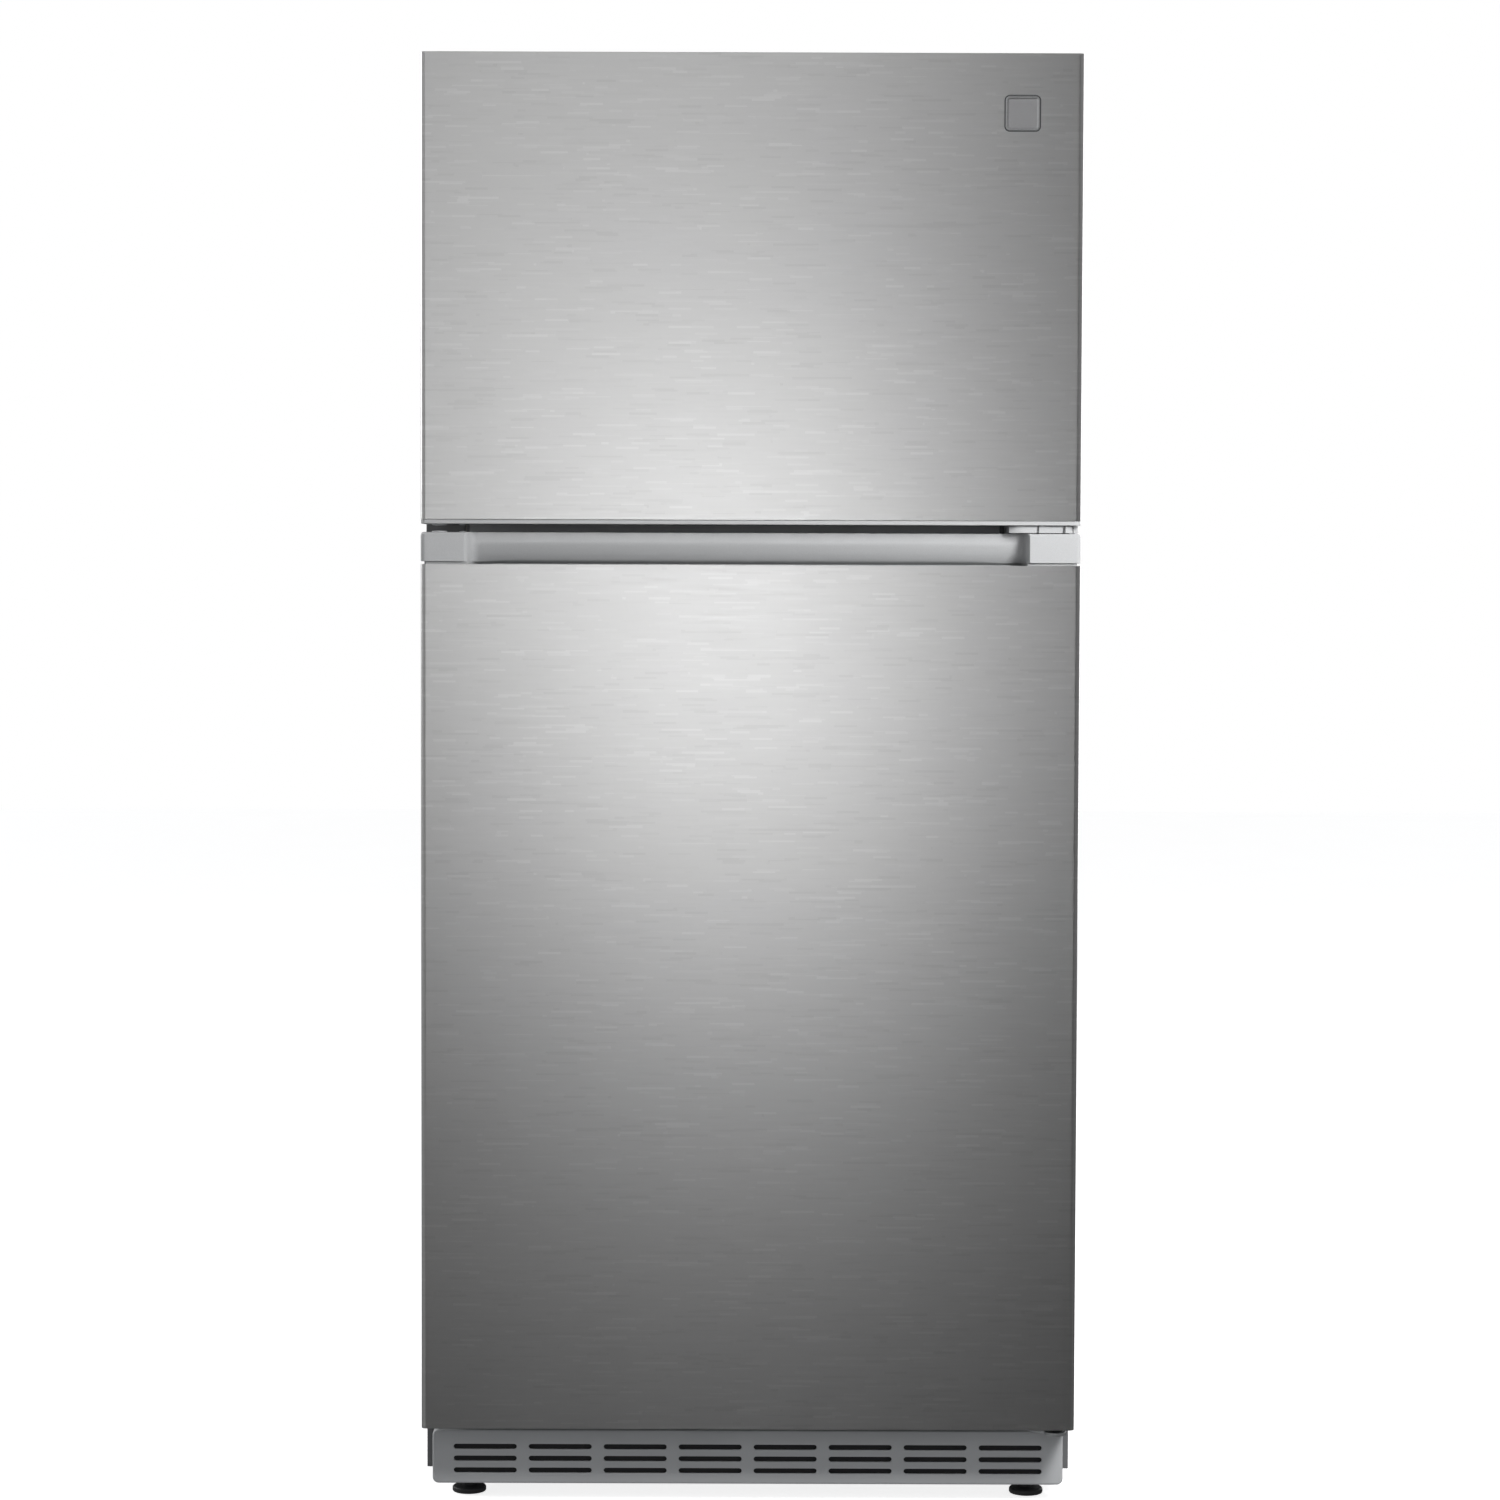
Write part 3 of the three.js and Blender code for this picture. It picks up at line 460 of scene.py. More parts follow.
def stack(at, axis, out, pairs, steps=24):
    """A round solid that stands at a point, from (radius, height) pairs. out is its direction, 1 or -1."""
    return lathe([(radius, out * height) for radius, height in pairs], at, axis, steps)


def plate(axis, low, high, levels, radius, edge=0.6):
    """A flat plate with round corners, whose rims are rounded over."""
    start, end = levels
    profile = above(start, (edge, 0), (0.3 * edge, 0.3 * edge), (0, edge))
    profile += above(end, (0, -edge), (0.3 * edge, -0.3 * edge), (edge, 0))
    return nest(axis, low, high, profile, radius)


def tray(low, high, radius, lean=0.0, wall=2.4):
    """A thin open box with round corners, a rim and a foot. Its back wall leans in by lean at the bottom."""
    top, bottom, foot = high.z, low.z, 0.45 * radius
    profile = above(bottom, (foot, 0), (4.2, 1), (2.6, 4.5)) + above(top, (1.6, -9), (0, -7.4), (0, -0.8))
    profile += above(top, (0.7, 0), (0.9 + wall, 0), (1.6 + wall, -0.8))
    profile += above(bottom, (2.6 + wall, 6.5), (4.2 + wall, wall + 1), (foot + wall, wall))
    loops = []
    for inset, level in profile:
        back = high.y - inset - lean * (top - level) / (top - bottom)
        corners = (low.x + inset, low.y + inset), (high.x - inset, back)
        loops.append(lift(rounded_rectangle(*corners, max(radius - inset, 1)), "z", level))
    return shell(loops)


# ---------------------------------------------------------------- pieces


def placed(name, data):
    made = bpy.data.objects.new(name, data)
    bpy.context.scene.collection.objects.link(made)
    return made


def solid_of(shells):
    """The faces of a list of shells."""
    solid = bmesh.new()
    for loops, around, closed, filled in shells:
        rows = [[solid.verts.new(point) for point in loop] for loop in loops]
        for near, far in zip(rows, rows[1:] + (rows[:1] if closed else [])):
            count = len(near)
            for i in range(count if around else count - 1):
                j = (i + 1) % count
                solid.faces.new((near[i], near[j], far[j], far[i]))
        for row in (rows[0], rows[-1]) if filled else ():
            solid.faces.new(row)
    return solid


def mesh_of(name, solid, facing=None):
    """A mesh in metres. The faces of an open sheet are turned until they look towards facing."""
    bmesh.ops.remove_doubles(solid, verts=solid.verts, dist=0.001)
    bmesh.ops.recalc_face_normals(solid, faces=solid.faces)
    if facing:
        whole = sum((face.normal * face.calc_area() for face in solid.faces), Vector())
        if whole.dot(Vector(facing)) < 0:
            bmesh.ops.reverse_faces(solid, faces=solid.faces)
    bmesh.ops.scale(solid, verts=solid.verts, vec=(MM, MM, MM))
    mesh = bpy.data.meshes.new(name)
    solid.to_mesh(mesh)
    solid.free()
    return mesh


def thicken(made, sheet):
    modify(made, "SOLIDIFY", thickness=sheet * MM, offset=-1, use_even_offset=True)


def carve(made, cutter):
    """Cuts a piece with a shape and keeps the result as its mesh."""
    tool = placed("cutter", mesh_of("cutter", solid_of(cutter)))
    modify(made, "BOOLEAN", object=tool, operation="DIFFERENCE", solver="EXACT")
    graph = bpy.context.evaluated_depsgraph_get()
    carved = bpy.data.meshes.new_from_object(made.evaluated_get(graph))
    made.modifiers.clear()
    made.data = carved
    bpy.data.objects.remove(tool)


def finish(made, slot, body, edge, segments, angle):
    """Rounds a piece's edges, in millimetres, and lets it ride on a body."""
    soften(made, edge * MM, segments, angle)
    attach(made, body)


def make(name, shape, slot, body="cabinet", edge=0, segments=2, angle=30, sheet=0, facing=None, cutter=None):
    """Turns a shape into a finished piece that rides on a body. A sheet is thickened behind its faces."""
    made = placed(name, mesh_of(name, solid_of(shape), facing))
    dress(made, slot)
    if sheet:
        thicken(made, sheet)
    if cutter:
        carve(made, cutter)
    finish(made, slot, body, edge, segments, angle)
    return made


def stand_in(node, shape, **settings):
    """A detailed piece that is shown instead of a CAD node, on its body and in its material."""
    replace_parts(make(node + "_finish", shape, SLOT_OF[node], BODY_OF[node], **settings), node)


def screw(at, axis, out, radius):
    """A pressed washer and a six sided head."""
    rise = 0.55 * radius
    washer = [(radius, 0), (radius, 0.5), (0.86 * radius, 1.0), (0.6 * radius, 1.1)]
    head = [(0.62 * radius, 0), (0.62 * radius, rise - 0.5), (0.52 * radius, rise)]
    foot = lift([(0, 0)], axis, out)[0]
    return stack(at, axis, out, washer) + stack(Vector(at) + Vector(foot), axis, out, head, 6)


def screws(name, places, axis, out, radius):
    shape = joined(screw(at, axis, out, radius) for at in places)
    make(name, shape, "screw_steel", edge=0.15, segments=1)


# ---------------------------------------------------------------- stage, light and camera


def camera():
    """The photo's view: level with the gap between the doors, from four metres, tipped a little down."""
    gap = (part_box("fridge_door_handle")[1].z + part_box("freezer_door_bottom_cap")[0].z) / 2
    distance, drop, pitch, roll, focal, sensor = 4.23, 0.045, 2.82, 0.19, 88.6, 36
    made = placed("camera", bpy.data.cameras.new("camera"))
    configure(made.data, lens=focal, sensor_width=sensor, clip_end=60)
    turn = Matrix.Rotation(math.radians(90 - pitch), 4, "X") @ Matrix.Rotation(math.radians(roll), 4, "Z")
    configure(made, location=(0, cad_box[0].y - distance, gap - drop), rotation_euler=turn.to_euler())
    bpy.context.scene.camera = made


def floor():
    solid = bmesh.new()
    bmesh.ops.create_grid(solid, x_segments=1, y_segments=1, size=12 / MM)
    made = placed("floor", mesh_of("floor", solid, facing=(0, 0, 1)))
    look = plain("floor", (0.9, 0.9, 0.9), 0.6, Emission_Color=(1, 1, 1, 1), Emission_Strength=0.8)
    vary_roughness(look, noise(look, 3), 0.55, 0.65)
    made.data.materials.append(look)
    configure(made, visible_glossy=False, visible_diffuse=False)


def softbox(name, place_at, aim, size, power, diffuse=True, glossy=True):
    light = bpy.data.lights.new(name, "AREA")
    configure(light, shape="RECTANGLE", size=size[0], size_y=size[1], energy=power)
    made = configure(placed(name, light), location=place_at, rotation_mode="QUATERNION")
    made.rotation_quaternion = (Vector(aim) - Vector(place_at)).to_track_quat("-Z", "Y")
    configure(made, visible_camera=False, visible_diffuse=diffuse, visible_glossy=glossy)


def room():
    """White behind the object and even light from all round. What metal mirrors is dark in front and below,
    brighter at the sides and above, and brighter on the left than on the right."""
    world = bpy.data.worlds.new("studio")
    bpy.context.scene.world = world
    world.use_nodes = True
    world.node_tree.nodes.clear()
    x, _, z = add_node(world, "SeparateXYZ", {"Vector": add_node(world, "TexCoord")["Generated"]})
    left_wall = spread(world, x, 0.0, 0.98, -0.15, -0.36)
    right_wall = spread(world, x, 0.0, 0.52, 0.13, 0.4)
    sides = calculate(world, "ADD", left_wall, right_wall)
    downward = spread(world, z, 0.0, 0.5, -0.28, -0.42)
    rising = spread(world, z, 0.0, 0.75, -0.25, 0.05)
    upward = spread(world, z, 0.0, 0.7, 0.5, 1.0)
    walls = calculate(world, "MULTIPLY", sides, calculate(world, "ADD", rising, downward))
    behind = add_node(world, "Background", {"Color": (1, 1, 1, 1)})[0]
    around = add_node(world, "Background", {"Color": (0.95, 0.97, 1, 1), "Strength": 0.19})[0]
    mirrored_room = add_node(world, "Background", {"Strength": calculate(world, "ADD", walls, upward)})[0]
    ray = add_node(world, "LightPath")
    metal = add_node(world, "MixShader", {0: ray["Is Glossy Ray"], 1: around, 2: mirrored_room})[0]
    final = add_node(world, "MixShader", {0: ray["Is Camera Ray"], 1: metal, 2: behind})[0]
    add_node(world, "OutputWorld", {"Surface": final})


MIRROR_PANELS = {
    "mirror_middle": ((0.0, 1.05), (0.7, 0.8), 10.0),
    "mirror_left": ((-0.22, 1.1), (0.7, 0.9), 4.5),
    "mirror_right": ((0.22, 1.05), (0.7, 0.8), 2.1),
    "mirror_far_left": ((-0.45, 1.4), (0.7, 1.9), 3.8),
    "mirror_high": ((-0.05, 1.95), (1.7, 0.8), 8.3),
    "mirror_low": ((0.0, 0.7), (0.7, 0.8), 1.0),
}


def mirror_panels():
    """Light from behind the camera that only polished metal shows. The doors mirror each panel at (x, z)."""
    eye, behind, front = bpy.context.scene.camera.location, 6.1, cad_box[0].y
    reach = behind / (front - eye.y)
    for name, ((x, z), size, power) in MIRROR_PANELS.items():
        place_at = (x + x * reach, front - behind, z + (z - eye.z) * reach)
        softbox(name, place_at, (0, front, 1.0), size, power, diffuse=False)


def studio():
    camera()
    floor()
    room()
    mirror_panels()
    softbox("key", (1.0, -1.45, 1.6), (0.3, -0.4, 1.1), (0.4, 0.6), 29, glossy=False)
    softbox("fill", (0.9, -5.2, 2.0), (0, 0, 1.0), (1.8, 2.2), 20, glossy=False)
    softbox("top", (0, -0.6, 4.0), (0, 0, 0.6), (3.0, 3.0), 30, glossy=False)
    softbox("left_side", (-3.4, 0.6, 2.2), (0, 0, 0.9), (1.8, 1.8), 60)
    softbox("back", (2.6, 3.4, 1.4), (0, 0.3, 0.9), (2.2, 2.4), 45)
    bpy.context.scene.view_settings.view_transform = "Standard"


# ---------------------------------------------------------------- doors

PIN = pivot_of("fridge_door_hinge")


def door_outline(half, front, back, radius, lip=None):
    """A door sheet seen from above, open at the back. A lip adds a point on each side wall."""
    bend = round_off([(-half, back), (-half, front), (half, front), (half, back)], radius, 8)
    if lip is None:
        return bend
    return [bend[0], Vector((-half, lip)), *bend[1:-1], Vector((half, lip)), bend[-1]]


def door_skin(node, cutter=None, lip=None):
    """The folded steel front. Above its lip, a (y, z) point, the sheet keeps only short side walls."""
    low, high = cad(node)
    back, deck = lip or (None, high.z)
    outline = door_outline(high.x, low.y, high.y, 6, back)
    shape = prism(outline, "z", (low.z, deck), around=False, filled=False)
    if lip:
        shape += prism(outline[1:-1], "z", (deck, high.z), around=False, filled=False)
    stand_in(node, shape, edge=0.45, angle=50, sheet=1.2, facing=(0, -1, 0), cutter=cutter)


def freezer_skin():
    low, high = cad("badge")
    hole = nest("y", *grown(low, high, 0.8), [(0, low.y - 5), (0, low.y + 5)], 6)
    door_skin("freezer_door_skin", hole, lip=(low.y + 7, cad("freezer_door_top_cap")[1].z - 25.2))


def badge():
    """A blank square plate with a raised rim, on a dark plate of painted shade, which shows as a dark line in
    the gap around it.
    """
    low, high = cad("badge")
    rim = above(low.y, (0, 1.2), (0, 0.5), (0.6, 0), (2.0, 0), (2.8, 0.6), (3.6, 0.7))
    stand_in("badge", nest("y", *grown(low, high, -0.4), rim, 5))
    # Painted shade: this dark plate behind the gap round the badge stands in for the shadow in that gap.
    backing = plate("y", *grown(low, high, 1.5), (low.y + 1.4, low.y + 1.8), 6, 0.1)
    make("badge_painted_shade", backing, "dark_trim", "freezer_door")


def handle():
    """The grip strip: two flush end blocks and a long recess that deepens towards its bottom. The right block
    holds the hinge pin, and its top front edge slopes down to the side."""
    low, high = cad("fridge_door_handle")
    skin_top = cad("fridge_door_skin")[1].z
    front, half = low.y, high.x
    opening, middle = 324, -4
    shallow, deepest = 22, 34
    seam, seam_depth = skin_top + 2.8, 4
    levels = [(seam_depth, low.z), *above(seam, (seam_depth, 0), (0.4, 0.2), (0, 0.8))]
    levels += above(high.z, (0, -3.4), (0.5, -1.6), (1.6, -0.5), (3.2, 0))
    strip = []
    for inset, level in levels:
        outline = door_outline(half - inset, front + inset, high.y - min(inset, 1), 6 - min(inset, 3))
        strip.append(lift(outline, "z", level))

    def grip(deep, level):
        """The recess seen from above, with rounded end walls."""
        wall = [(opening + 6, front - 5), (opening - 3, front + 2), (opening - 8, front + deep)]
        right = round_off([*wall, (opening - 60, front + deep)], 8, 7)
        points = [(middle + x, y) for x, y in right] + [(middle - x, y) for x, y in reversed(right)]
        return lift(points, "z", level)

    curved, rows = 0.65 * (high.z - skin_top), 9
    recess = [grip(deepest + 9, skin_top - 0.6), grip(deepest + 7, skin_top + 2)]
    for row in range(rows):
        share = row / (rows - 1)
        deep = deepest - (deepest - shallow) * (1 - (1 - share) ** 2)
        recess.append(grip(deep, seam + curved * share))
    recess.append(grip(shallow, high.z + 5))
    well = rounded_rectangle((26 - opening, front + 8), (opening - 26, front + deepest - 5), 3)
    slope = above(high.z, (331, 8), (331, -1.6), (350, -2.8), (half + 8, -5), (half + 8, 8))
    bore, bore_depth = 5.8, 23
    cutter = shell(recess) + prism(well, "z", (low.z + 8, skin_top + 0.4))
    cutter += stack((PIN.x, PIN.y, high.z - bore_depth), "z", 1, [(bore, 0), (bore, 30)])
    cutter += prism(slope, "y", (front - 9, front + 7.3))
    stand_in("fridge_door_handle", shell(strip), edge=0.7, angle=40, cutter=cutter)


def gasket(node):
    """A soft strip with a folded bellows between the door and the cabinet."""
    low, high = cad(node)
    width = 16
    folds = above(low.y, (0, 0), (0, 1.4), (2.4, 2.6), (2.4, 3.8), (0.4, 5.2), (0.4, 6.6), (1.8, 7.6))
    folds += above(high.y, (0.2, -2.4), (0.2, -0.8), (1, 0))
    stand_in(node, nest("y", low, high, mirrored(folds, width), 12, closed=True), edge=0.3, segments=1)


def door_liner(node, bins):
    """The moulded inner panel: a flat border, a raised rim with soft edges and a flat field for the bins."""
    low, high = cad(node)
    face, crest, rim_half, rim_width = low.y + 3, high.y, 300, 28
    foot, head = (54, 60.5) if node.startswith("freezer") else (70, 54.5)
    border = (-high.x, low.z), (high.x, high.z)
    rim = (-rim_half, low.z + foot), (rim_half, high.z - head)
    flats = ((0, low.y), (0, face - 0.6), (0.6, face))
    rises = above(face, (-6, 0), (-2.5, 0.6), (-0.6, 2.5), (0, 6))
    rises += above(crest, (0.9, -5), (2, -1.6), (5, 0))
    loops = [ring("y", *border, inset, 4, level) for inset, level in flats]
    for inset, level in mirrored(rises, rim_width):
        loops.append(ring("y", *rim, inset, max(20 - inset, 4), level))
    stand_in(node, shell(loops))
    ledges = []
    for bin_node in bins:
        seat = cad(bin_node)[0].z
        for x in (-263, 263):
            ledges += block((x - 10, x + 10), (face - 0.5, crest - 6), (seat - 6.3, seat - 0.4))
    make(node + "_bin_ledges", ledges, "white_plastic", BODY_OF[node], edge=1.4)


def bin_tray(node):
    low, high = cad(node)
    stand_in(node, tray(low, high, 12, lean=8))
    trim = block((low.x + 14, high.x - 14), (high.y - 1.6, high.y - 0.3), (high.z - 12, high.z - 1.2))
    make(node + "_trim", trim, "chrome", BODY_OF[node], edge=0.4)


def dairy_lid():
    """A curved clear flap that turns on a rod."""
    low, high = cad("dairy_lid")
    pivot = pivot_of("dairy_lid_hinge")
    outer = round_off([(pivot.y + 1, pivot.z + 1.6), (high.y - 8, high.z), (high.y, low.z)], 12, 6)
    inner = [(high.y - 2.6, low.z), *((y - 1.6, z - 2) for y, z in reversed(outer[:-1]))]
    rod = [(0.6, low.x), (3, low.x), (3.4, low.x + 0.5), (3.4, high.x - 0.5), (3, high.x), (0.6, high.x)]
    shape = prism([*outer, *inner], "x", (low.x, high.x)) + lathe(rod, (0, pivot.y, pivot.z), "x", 20)
    stand_in("dairy_lid", shape, edge=0.4)


def hole_plugs():
    """Caps in the hinge holes of the left side, which a door hung the other way would use."""
    cap, pip = [(9, -1), (9, 0.6), (8, 1.5), (3, 2.0)], [(4, -1), (4, 0.6), (3, 1.4)]
    under, over = cad("freezer_door_bottom_cap")[0].z, cad("fridge_door_handle")[1].z
    for body, level, out in (("freezer_door", under, -1), ("fridge_door", over, 1)):
        shape = stack((-PIN.x, PIN.y, level), "z", out, cap)
        shape += stack((-PIN.x + 26, PIN.y + 6, level), "z", out, pip, 16)
        make(body + "_hole_plug", shape, "grey_plastic", body, edge=0.2)
    top, plug = cad("cabinet_shell")[1].z, [(6, 0), (6, 0.6), (5, 1.3), (2, 1.7)]
    places = ((-342, -312, top), (-342, -292, top), (-312, -302, top))
    make("case_hole_plugs", joined(stack(at, "z", 1, plug) for at in places), "grey_plastic", edge=0.2)


# ---------------------------------------------------------------- hinges


def arc_about_pin(right, radius, end):
    """Points round the hinge pin seen from above, from the wall on the right to a turn of -end."""
    steps = 14
    start = math.acos((right - PIN.x) / radius)
    turns = [start - (start + end) * step / steps for step in range(steps + 1)]
    return [(PIN.x + radius * math.cos(turn), PIN.y + radius * math.sin(turn)) for turn in turns]


def hinge_screws():
    top = cad("top_hinge")[1].z
    screws("top_hinge_screws", [(306, -296, top), (334, -296, top), (306, -322, top)], "z", 1, 5)
    for hinge, columns, rows, radius in (
        ("center_hinge", (312, 352), (1125, 1153), 4.6),
        ("bottom_hinge", (316, 356), (60, 76), 4.4),
    ):
        flange = cad(hinge)[1].y - 3
        screws(hinge + "_screws", [(x, flange, z) for x in columns for z in rows], "y", -1, radius)


def hinge_cap():
    """A silver cap round the front of the center hinge plate, split by narrow upright grooves."""
    left, right, back, radius = cad("center_hinge")[0].x - 2, PIN.x + 13.3, PIN.y + 40, 19.6
    bottom, top = cad("fridge_door_handle")[1].z + 0.9, cad("freezer_door_bottom_cap")[0].z - 0.7
    front = PIN.y - radius
    outline = [(left, back), (right, back), *arc_about_pin(right, radius, math.pi / 2)]
    outline += [(left + 12, front), (left + 2, front + 5), (left, front + 12)]
    grooves = []
    for x, width in ((PIN.x - 29, 2.2), (PIN.x + 1, 3), (PIN.x + 11, 2)):
        grooves += block((x - width / 2, x + width / 2), (PIN.y - 40, PIN.y - 14), (bottom - 2, top + 2))
    shape = prism(outline, "z", (bottom, top))
    make("center_hinge_cap", shape, "silver_plastic", edge=0.5, cutter=grooves)


def hinge_bushings():
    """Plastic washers on the hinge pin, between each plate and its door."""
    lower, upper = cad("fridge_door_handle")[1].z, cad("freezer_door_bottom_cap")[0].z
    foot = cad("fridge_door_bottom_cap")[0].z
    shape = []
    for start, end in ((lower + 0.2, lower + 2.8), (lower + 6.8, upper - 0.2), (foot - 5.8, foot - 0.2)):
        profile = above(start, (5.2, 0), (8.5, 0), (9, 0.5)) + above(end, (9, -0.5), (8.5, 0), (5.2, 0))
        shape += lathe(profile, (PIN.x, PIN.y, 0), closed=True)
    make("hinge_bushings", shape, "black_plastic")


def hinge_cover():
    """The hollow moulded cap over the top hinge, which narrows to a round end about the pin."""
    low, high = cad("top_hinge_cover")
    inside, foot = above(high.z, (5, -2), (2.2, -5)), above(low.z, (2, 0), (0, 0))
    outside = above(high.z, (0, -5), (0.6, -2.6), (2, -0.9), (4.5, 0))
    loops = []
    for inset, level in inside + foot + outside:
        left, right, back = low.x + inset, PIN.x + 3.6 - inset, high.y - inset
        arc = arc_about_pin(right, PIN.y - low.y - inset, math.pi)
        outline = [(left, back), (right, back), *arc, (left, PIN.y + 40), (left, back)]
        loops.append(lift(round_off(outline, 5, 3)[:-1], "z", level))
    lid = shell([loops[-1], loops[0]])
    stand_in("top_hinge_cover", shell(loops, filled=False) + lid)


# ---------------------------------------------------------------- cabinet


def back_panel():
    """A galvanised sheet with pressed stiffening bands and screws round its edge."""
    low, high = cad("back_panel")
    crown, corner = cad("cabinet_shell")[1].z - 1.6, 7
    outline = round_off([(low.x, low.z), (low.x, crown), (high.x, crown), (high.x, low.z)], corner, 6)
    stand_in("back_panel", prism(outline, "y", (low.y, high.y)), edge=0.4)
    count, margin, gap, width = 3, 60, 46, 22
    height = (high.z - low.z - 2 * margin - (count - 1) * gap) / count
    ridge = mirrored(above(high.y, (0, -0.4), (3, 1.6), (6, 2.4)), width)
    middle = (low.z + high.z) / 2
    bands = []
    for z in spaced(count, height + gap, middle):
        corners = (low.x + margin, z - height / 2), (high.x - margin, z + height / 2)
        bands += nest("y", *corners, ridge, 30, closed=True)
    make("back_panel_ribs", bands, "zinc_steel")
    levels = spaced(7, (high.z - low.z - 28) / 6, middle)
    places = [(x, high.y, z) for x in (low.x + 12, high.x - 12) for z in levels]
    places += [(x, high.y, high.z - 14) for x in spaced(3, 180)]
    screws("back_panel_screws", places, "y", 1, 4.2)


def machine_cover():
    """A louvred plate, set back in a moulded frame."""
    low, high = cad("machine_cover")
    gland = centre_of("cord_gland")
    face, thick, inset = high.y - 3, 1.4, 7
    rims = above(high.y, (0, -2.5), (0.8, -0.8), (2.5, 0), (6.4, 0), (8, -1.4)) + [(8, face), (2, face)]
    rims = [(0, low.y), *rims, (2, low.y)]
    make("machine_cover_frame", nest("y", low, high, rims, 8, closed=True), "grey_plastic")
    louvres = slot_grid(spaced(5, 135), 7, 16, 110, 5, 210)
    cutter = slots(louvres, (face - 8, face + 2))
    cutter += stack((gland.x, face - 8, gland.z), "y", 1, [(9.4, 0), (9.4, 12)], 32)
    sheet = block((low.x + inset, high.x - inset), (face - thick, face), (low.z + inset, high.z - inset))
    stand_in("machine_cover", sheet, edge=0.35, segments=1, cutter=cutter)
    hoods = []
    for (u0, u1), (v0, v1) in louvres:
        root = [(face - 0.4, v1 + 0.2), (face - 0.4, v1 + 1.6)]
        lip = [(face - 5.4, v0 - 0.6), (face - 6.4, v0 - 0.2)]
        hoods += prism(root + lip, "x", (u0 + 1, u1 - 1))
    make("machine_cover_louvres", hoods, "grey_plastic", edge=0.3, segments=1)
    places = [(x, face, z) for x in spaced(4, 240) for z in (low.z + 12, high.z - 12)]
    screws("machine_cover_screws", places, "y", 1, 3.6)


def cord_gland():
    low, high = cad("cord_gland")
    middle = centre_of("cord_gland")
    collar = (9, -5.5), (12.4, -5.5), (13, -5), (13, -3.4), (12, -2.5), (9, -2.2)
    mouth = (8.4, -0.4), (7.6, 0), (4.6, 0), (4, -0.8)
    profile = above(low.y, (4, 0), (8.6, 0), (9, 1)) + above(high.y, *collar, *mouth)
    stand_in("cord_gland", lathe(profile, (middle.x, 0, middle.z), "y", 40, closed=True))


def toe_grille():
    low, high = cad("toe_grille")
    outside = above(low.y, (3.2, 0), (0.9, 0.9), (0, 3.2)) + above(high.y, (0, 0))
    inside = above(high.y, (2.6, 0)) + above(low.y, (2.6, 4), (4, 2.8))
    cutter = slots(slot_grid(spaced(8, 88), 3, 14, 74, 6, 50), (low.y - 5, low.y + 8))
    stand_in("toe_grille", nest("y", low, high, outside + inside, 7), edge=0.4, angle=40, cutter=cutter)
    # A black plate behind the slots: an air baffle, and painted shade too, standing in for the shadow under
    # the cabinet that shows through the slots.
    shade_baffle = plate("y", *grown(low, high, -3), (low.y + 9, low.y + 10.2), 4, 0.3)
    make("toe_grille_shade_baffle", shade_baffle, "black_plastic")


def mullion_trim():
    """A pale strip on the cabinet between the two gaskets, behind the gap between the doors."""
    left, face = cad("mullion_cover")[0].x + 4, cad("mullion_cover")[0].y
    right = cad("center_hinge")[0].x - 6
    bottom, top = cad("fridge_door_gasket")[1].z + 2.5, cad("freezer_door_gasket")[0].z - 2.5
    strip = plate("y", (left, bottom), (right, top), (face - 1.2, face + 0.3), 3, 0.5)
    make("mullion_trim", strip, "grey_plastic")


def sill_front():
    """The painted front of the sill, between the sides of the case and under the fridge compartment."""
    half, thin = 348.5, 0.3
    face = cad("base_frame")[0].y
    levels = (cad("bottom_hinge")[0].z - 8, cad("fridge_liner")[0].z - 0.6)
    make("sill_front", block((-half, half), (face - thin, face + thin), levels), "case_paint")


def leveling_leg(node):
    x, y, _ = centre_of(node)
    top, pitch, start = cad(node)[1].z, 2, 17.5
    foot = [(17, 0), (19.2, 0.6), (20, 2), (20, 5.4), (19, 6.8), (12, 8.2), (11, 8.6)]
    nut = [(10, 0), (10, 9.2), (8.6, 10)]
    thread = []
    for i in range(int((top - 18) / pitch)):
        thread += [(5, start + pitch * i), (4.2, start + 1 + pitch * i)]
    shape = stack((x, y, 0), "z", 1, foot, 40) + stack((x, y, 8), "z", 1, nut, 6)
    shape += stack((x, y, 0), "z", 1, [*thread, (4.6, top)])
    stand_in(node, shape, edge=0.35)


def roller(node):
    low, high = cad(node)
    half, radius, hole = (high.x - low.x) / 2, (high.z - low.z) / 2, 4.6
    side = above(-half, (hole, 0), (8, 0), (8.5, 1.6), (radius - 5, 2.4), (radius - 3.4, 0))
    side += above(-half, (radius - 1.4, 0.2), (radius, 1.8))
    side += [(radius, -3), (radius - 0.8, -2.4), (radius - 0.8, -1.6), (radius, -1)]
    profile = side + [(reach, -height) for reach, height in reversed(side)]
    stand_in(node, lathe(profile, centre_of(node), "x", 48, closed=True))


# ---------------------------------------------------------------- inside the compartments


def tub(node, profile, half, across, along):
    """A moulded tub, open at the front, where its side outline of (y, z) points starts and ends. across and
    along give the rounding of its creases, as shares of the widest one."""
    widest = 22
    solid = bmesh.new()
    weight = solid.edges.layers.float.new("bevel_weight_edge")
    left, right = ([solid.verts.new((side * half, y, z)) for y, z in profile] for side in (-1, 1))
    for row in (left, right):
        solid.faces.new(row)
    for i in range(len(profile) - 1):
        solid.faces.new((left[i], left[i + 1], right[i + 1], right[i]))
        for row in (left, right):
            solid.edges.get((row[i], row[i + 1]))[weight] = along[i]
        if i:
            solid.edges.get((left[i], right[i]))[weight] = across[i - 1]
    made = placed(node + "_finish", mesh_of(node, solid, (0, -1, 0)))
    dress(made, SLOT_OF[node])
    modify(made, "BEVEL", limit_method="WEIGHT", width=widest * MM, segments=6)
    thicken(made, 2.4)
    finish(made, SLOT_OF[node], "cabinet", 0.6, 2, 50)
    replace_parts(made, node)


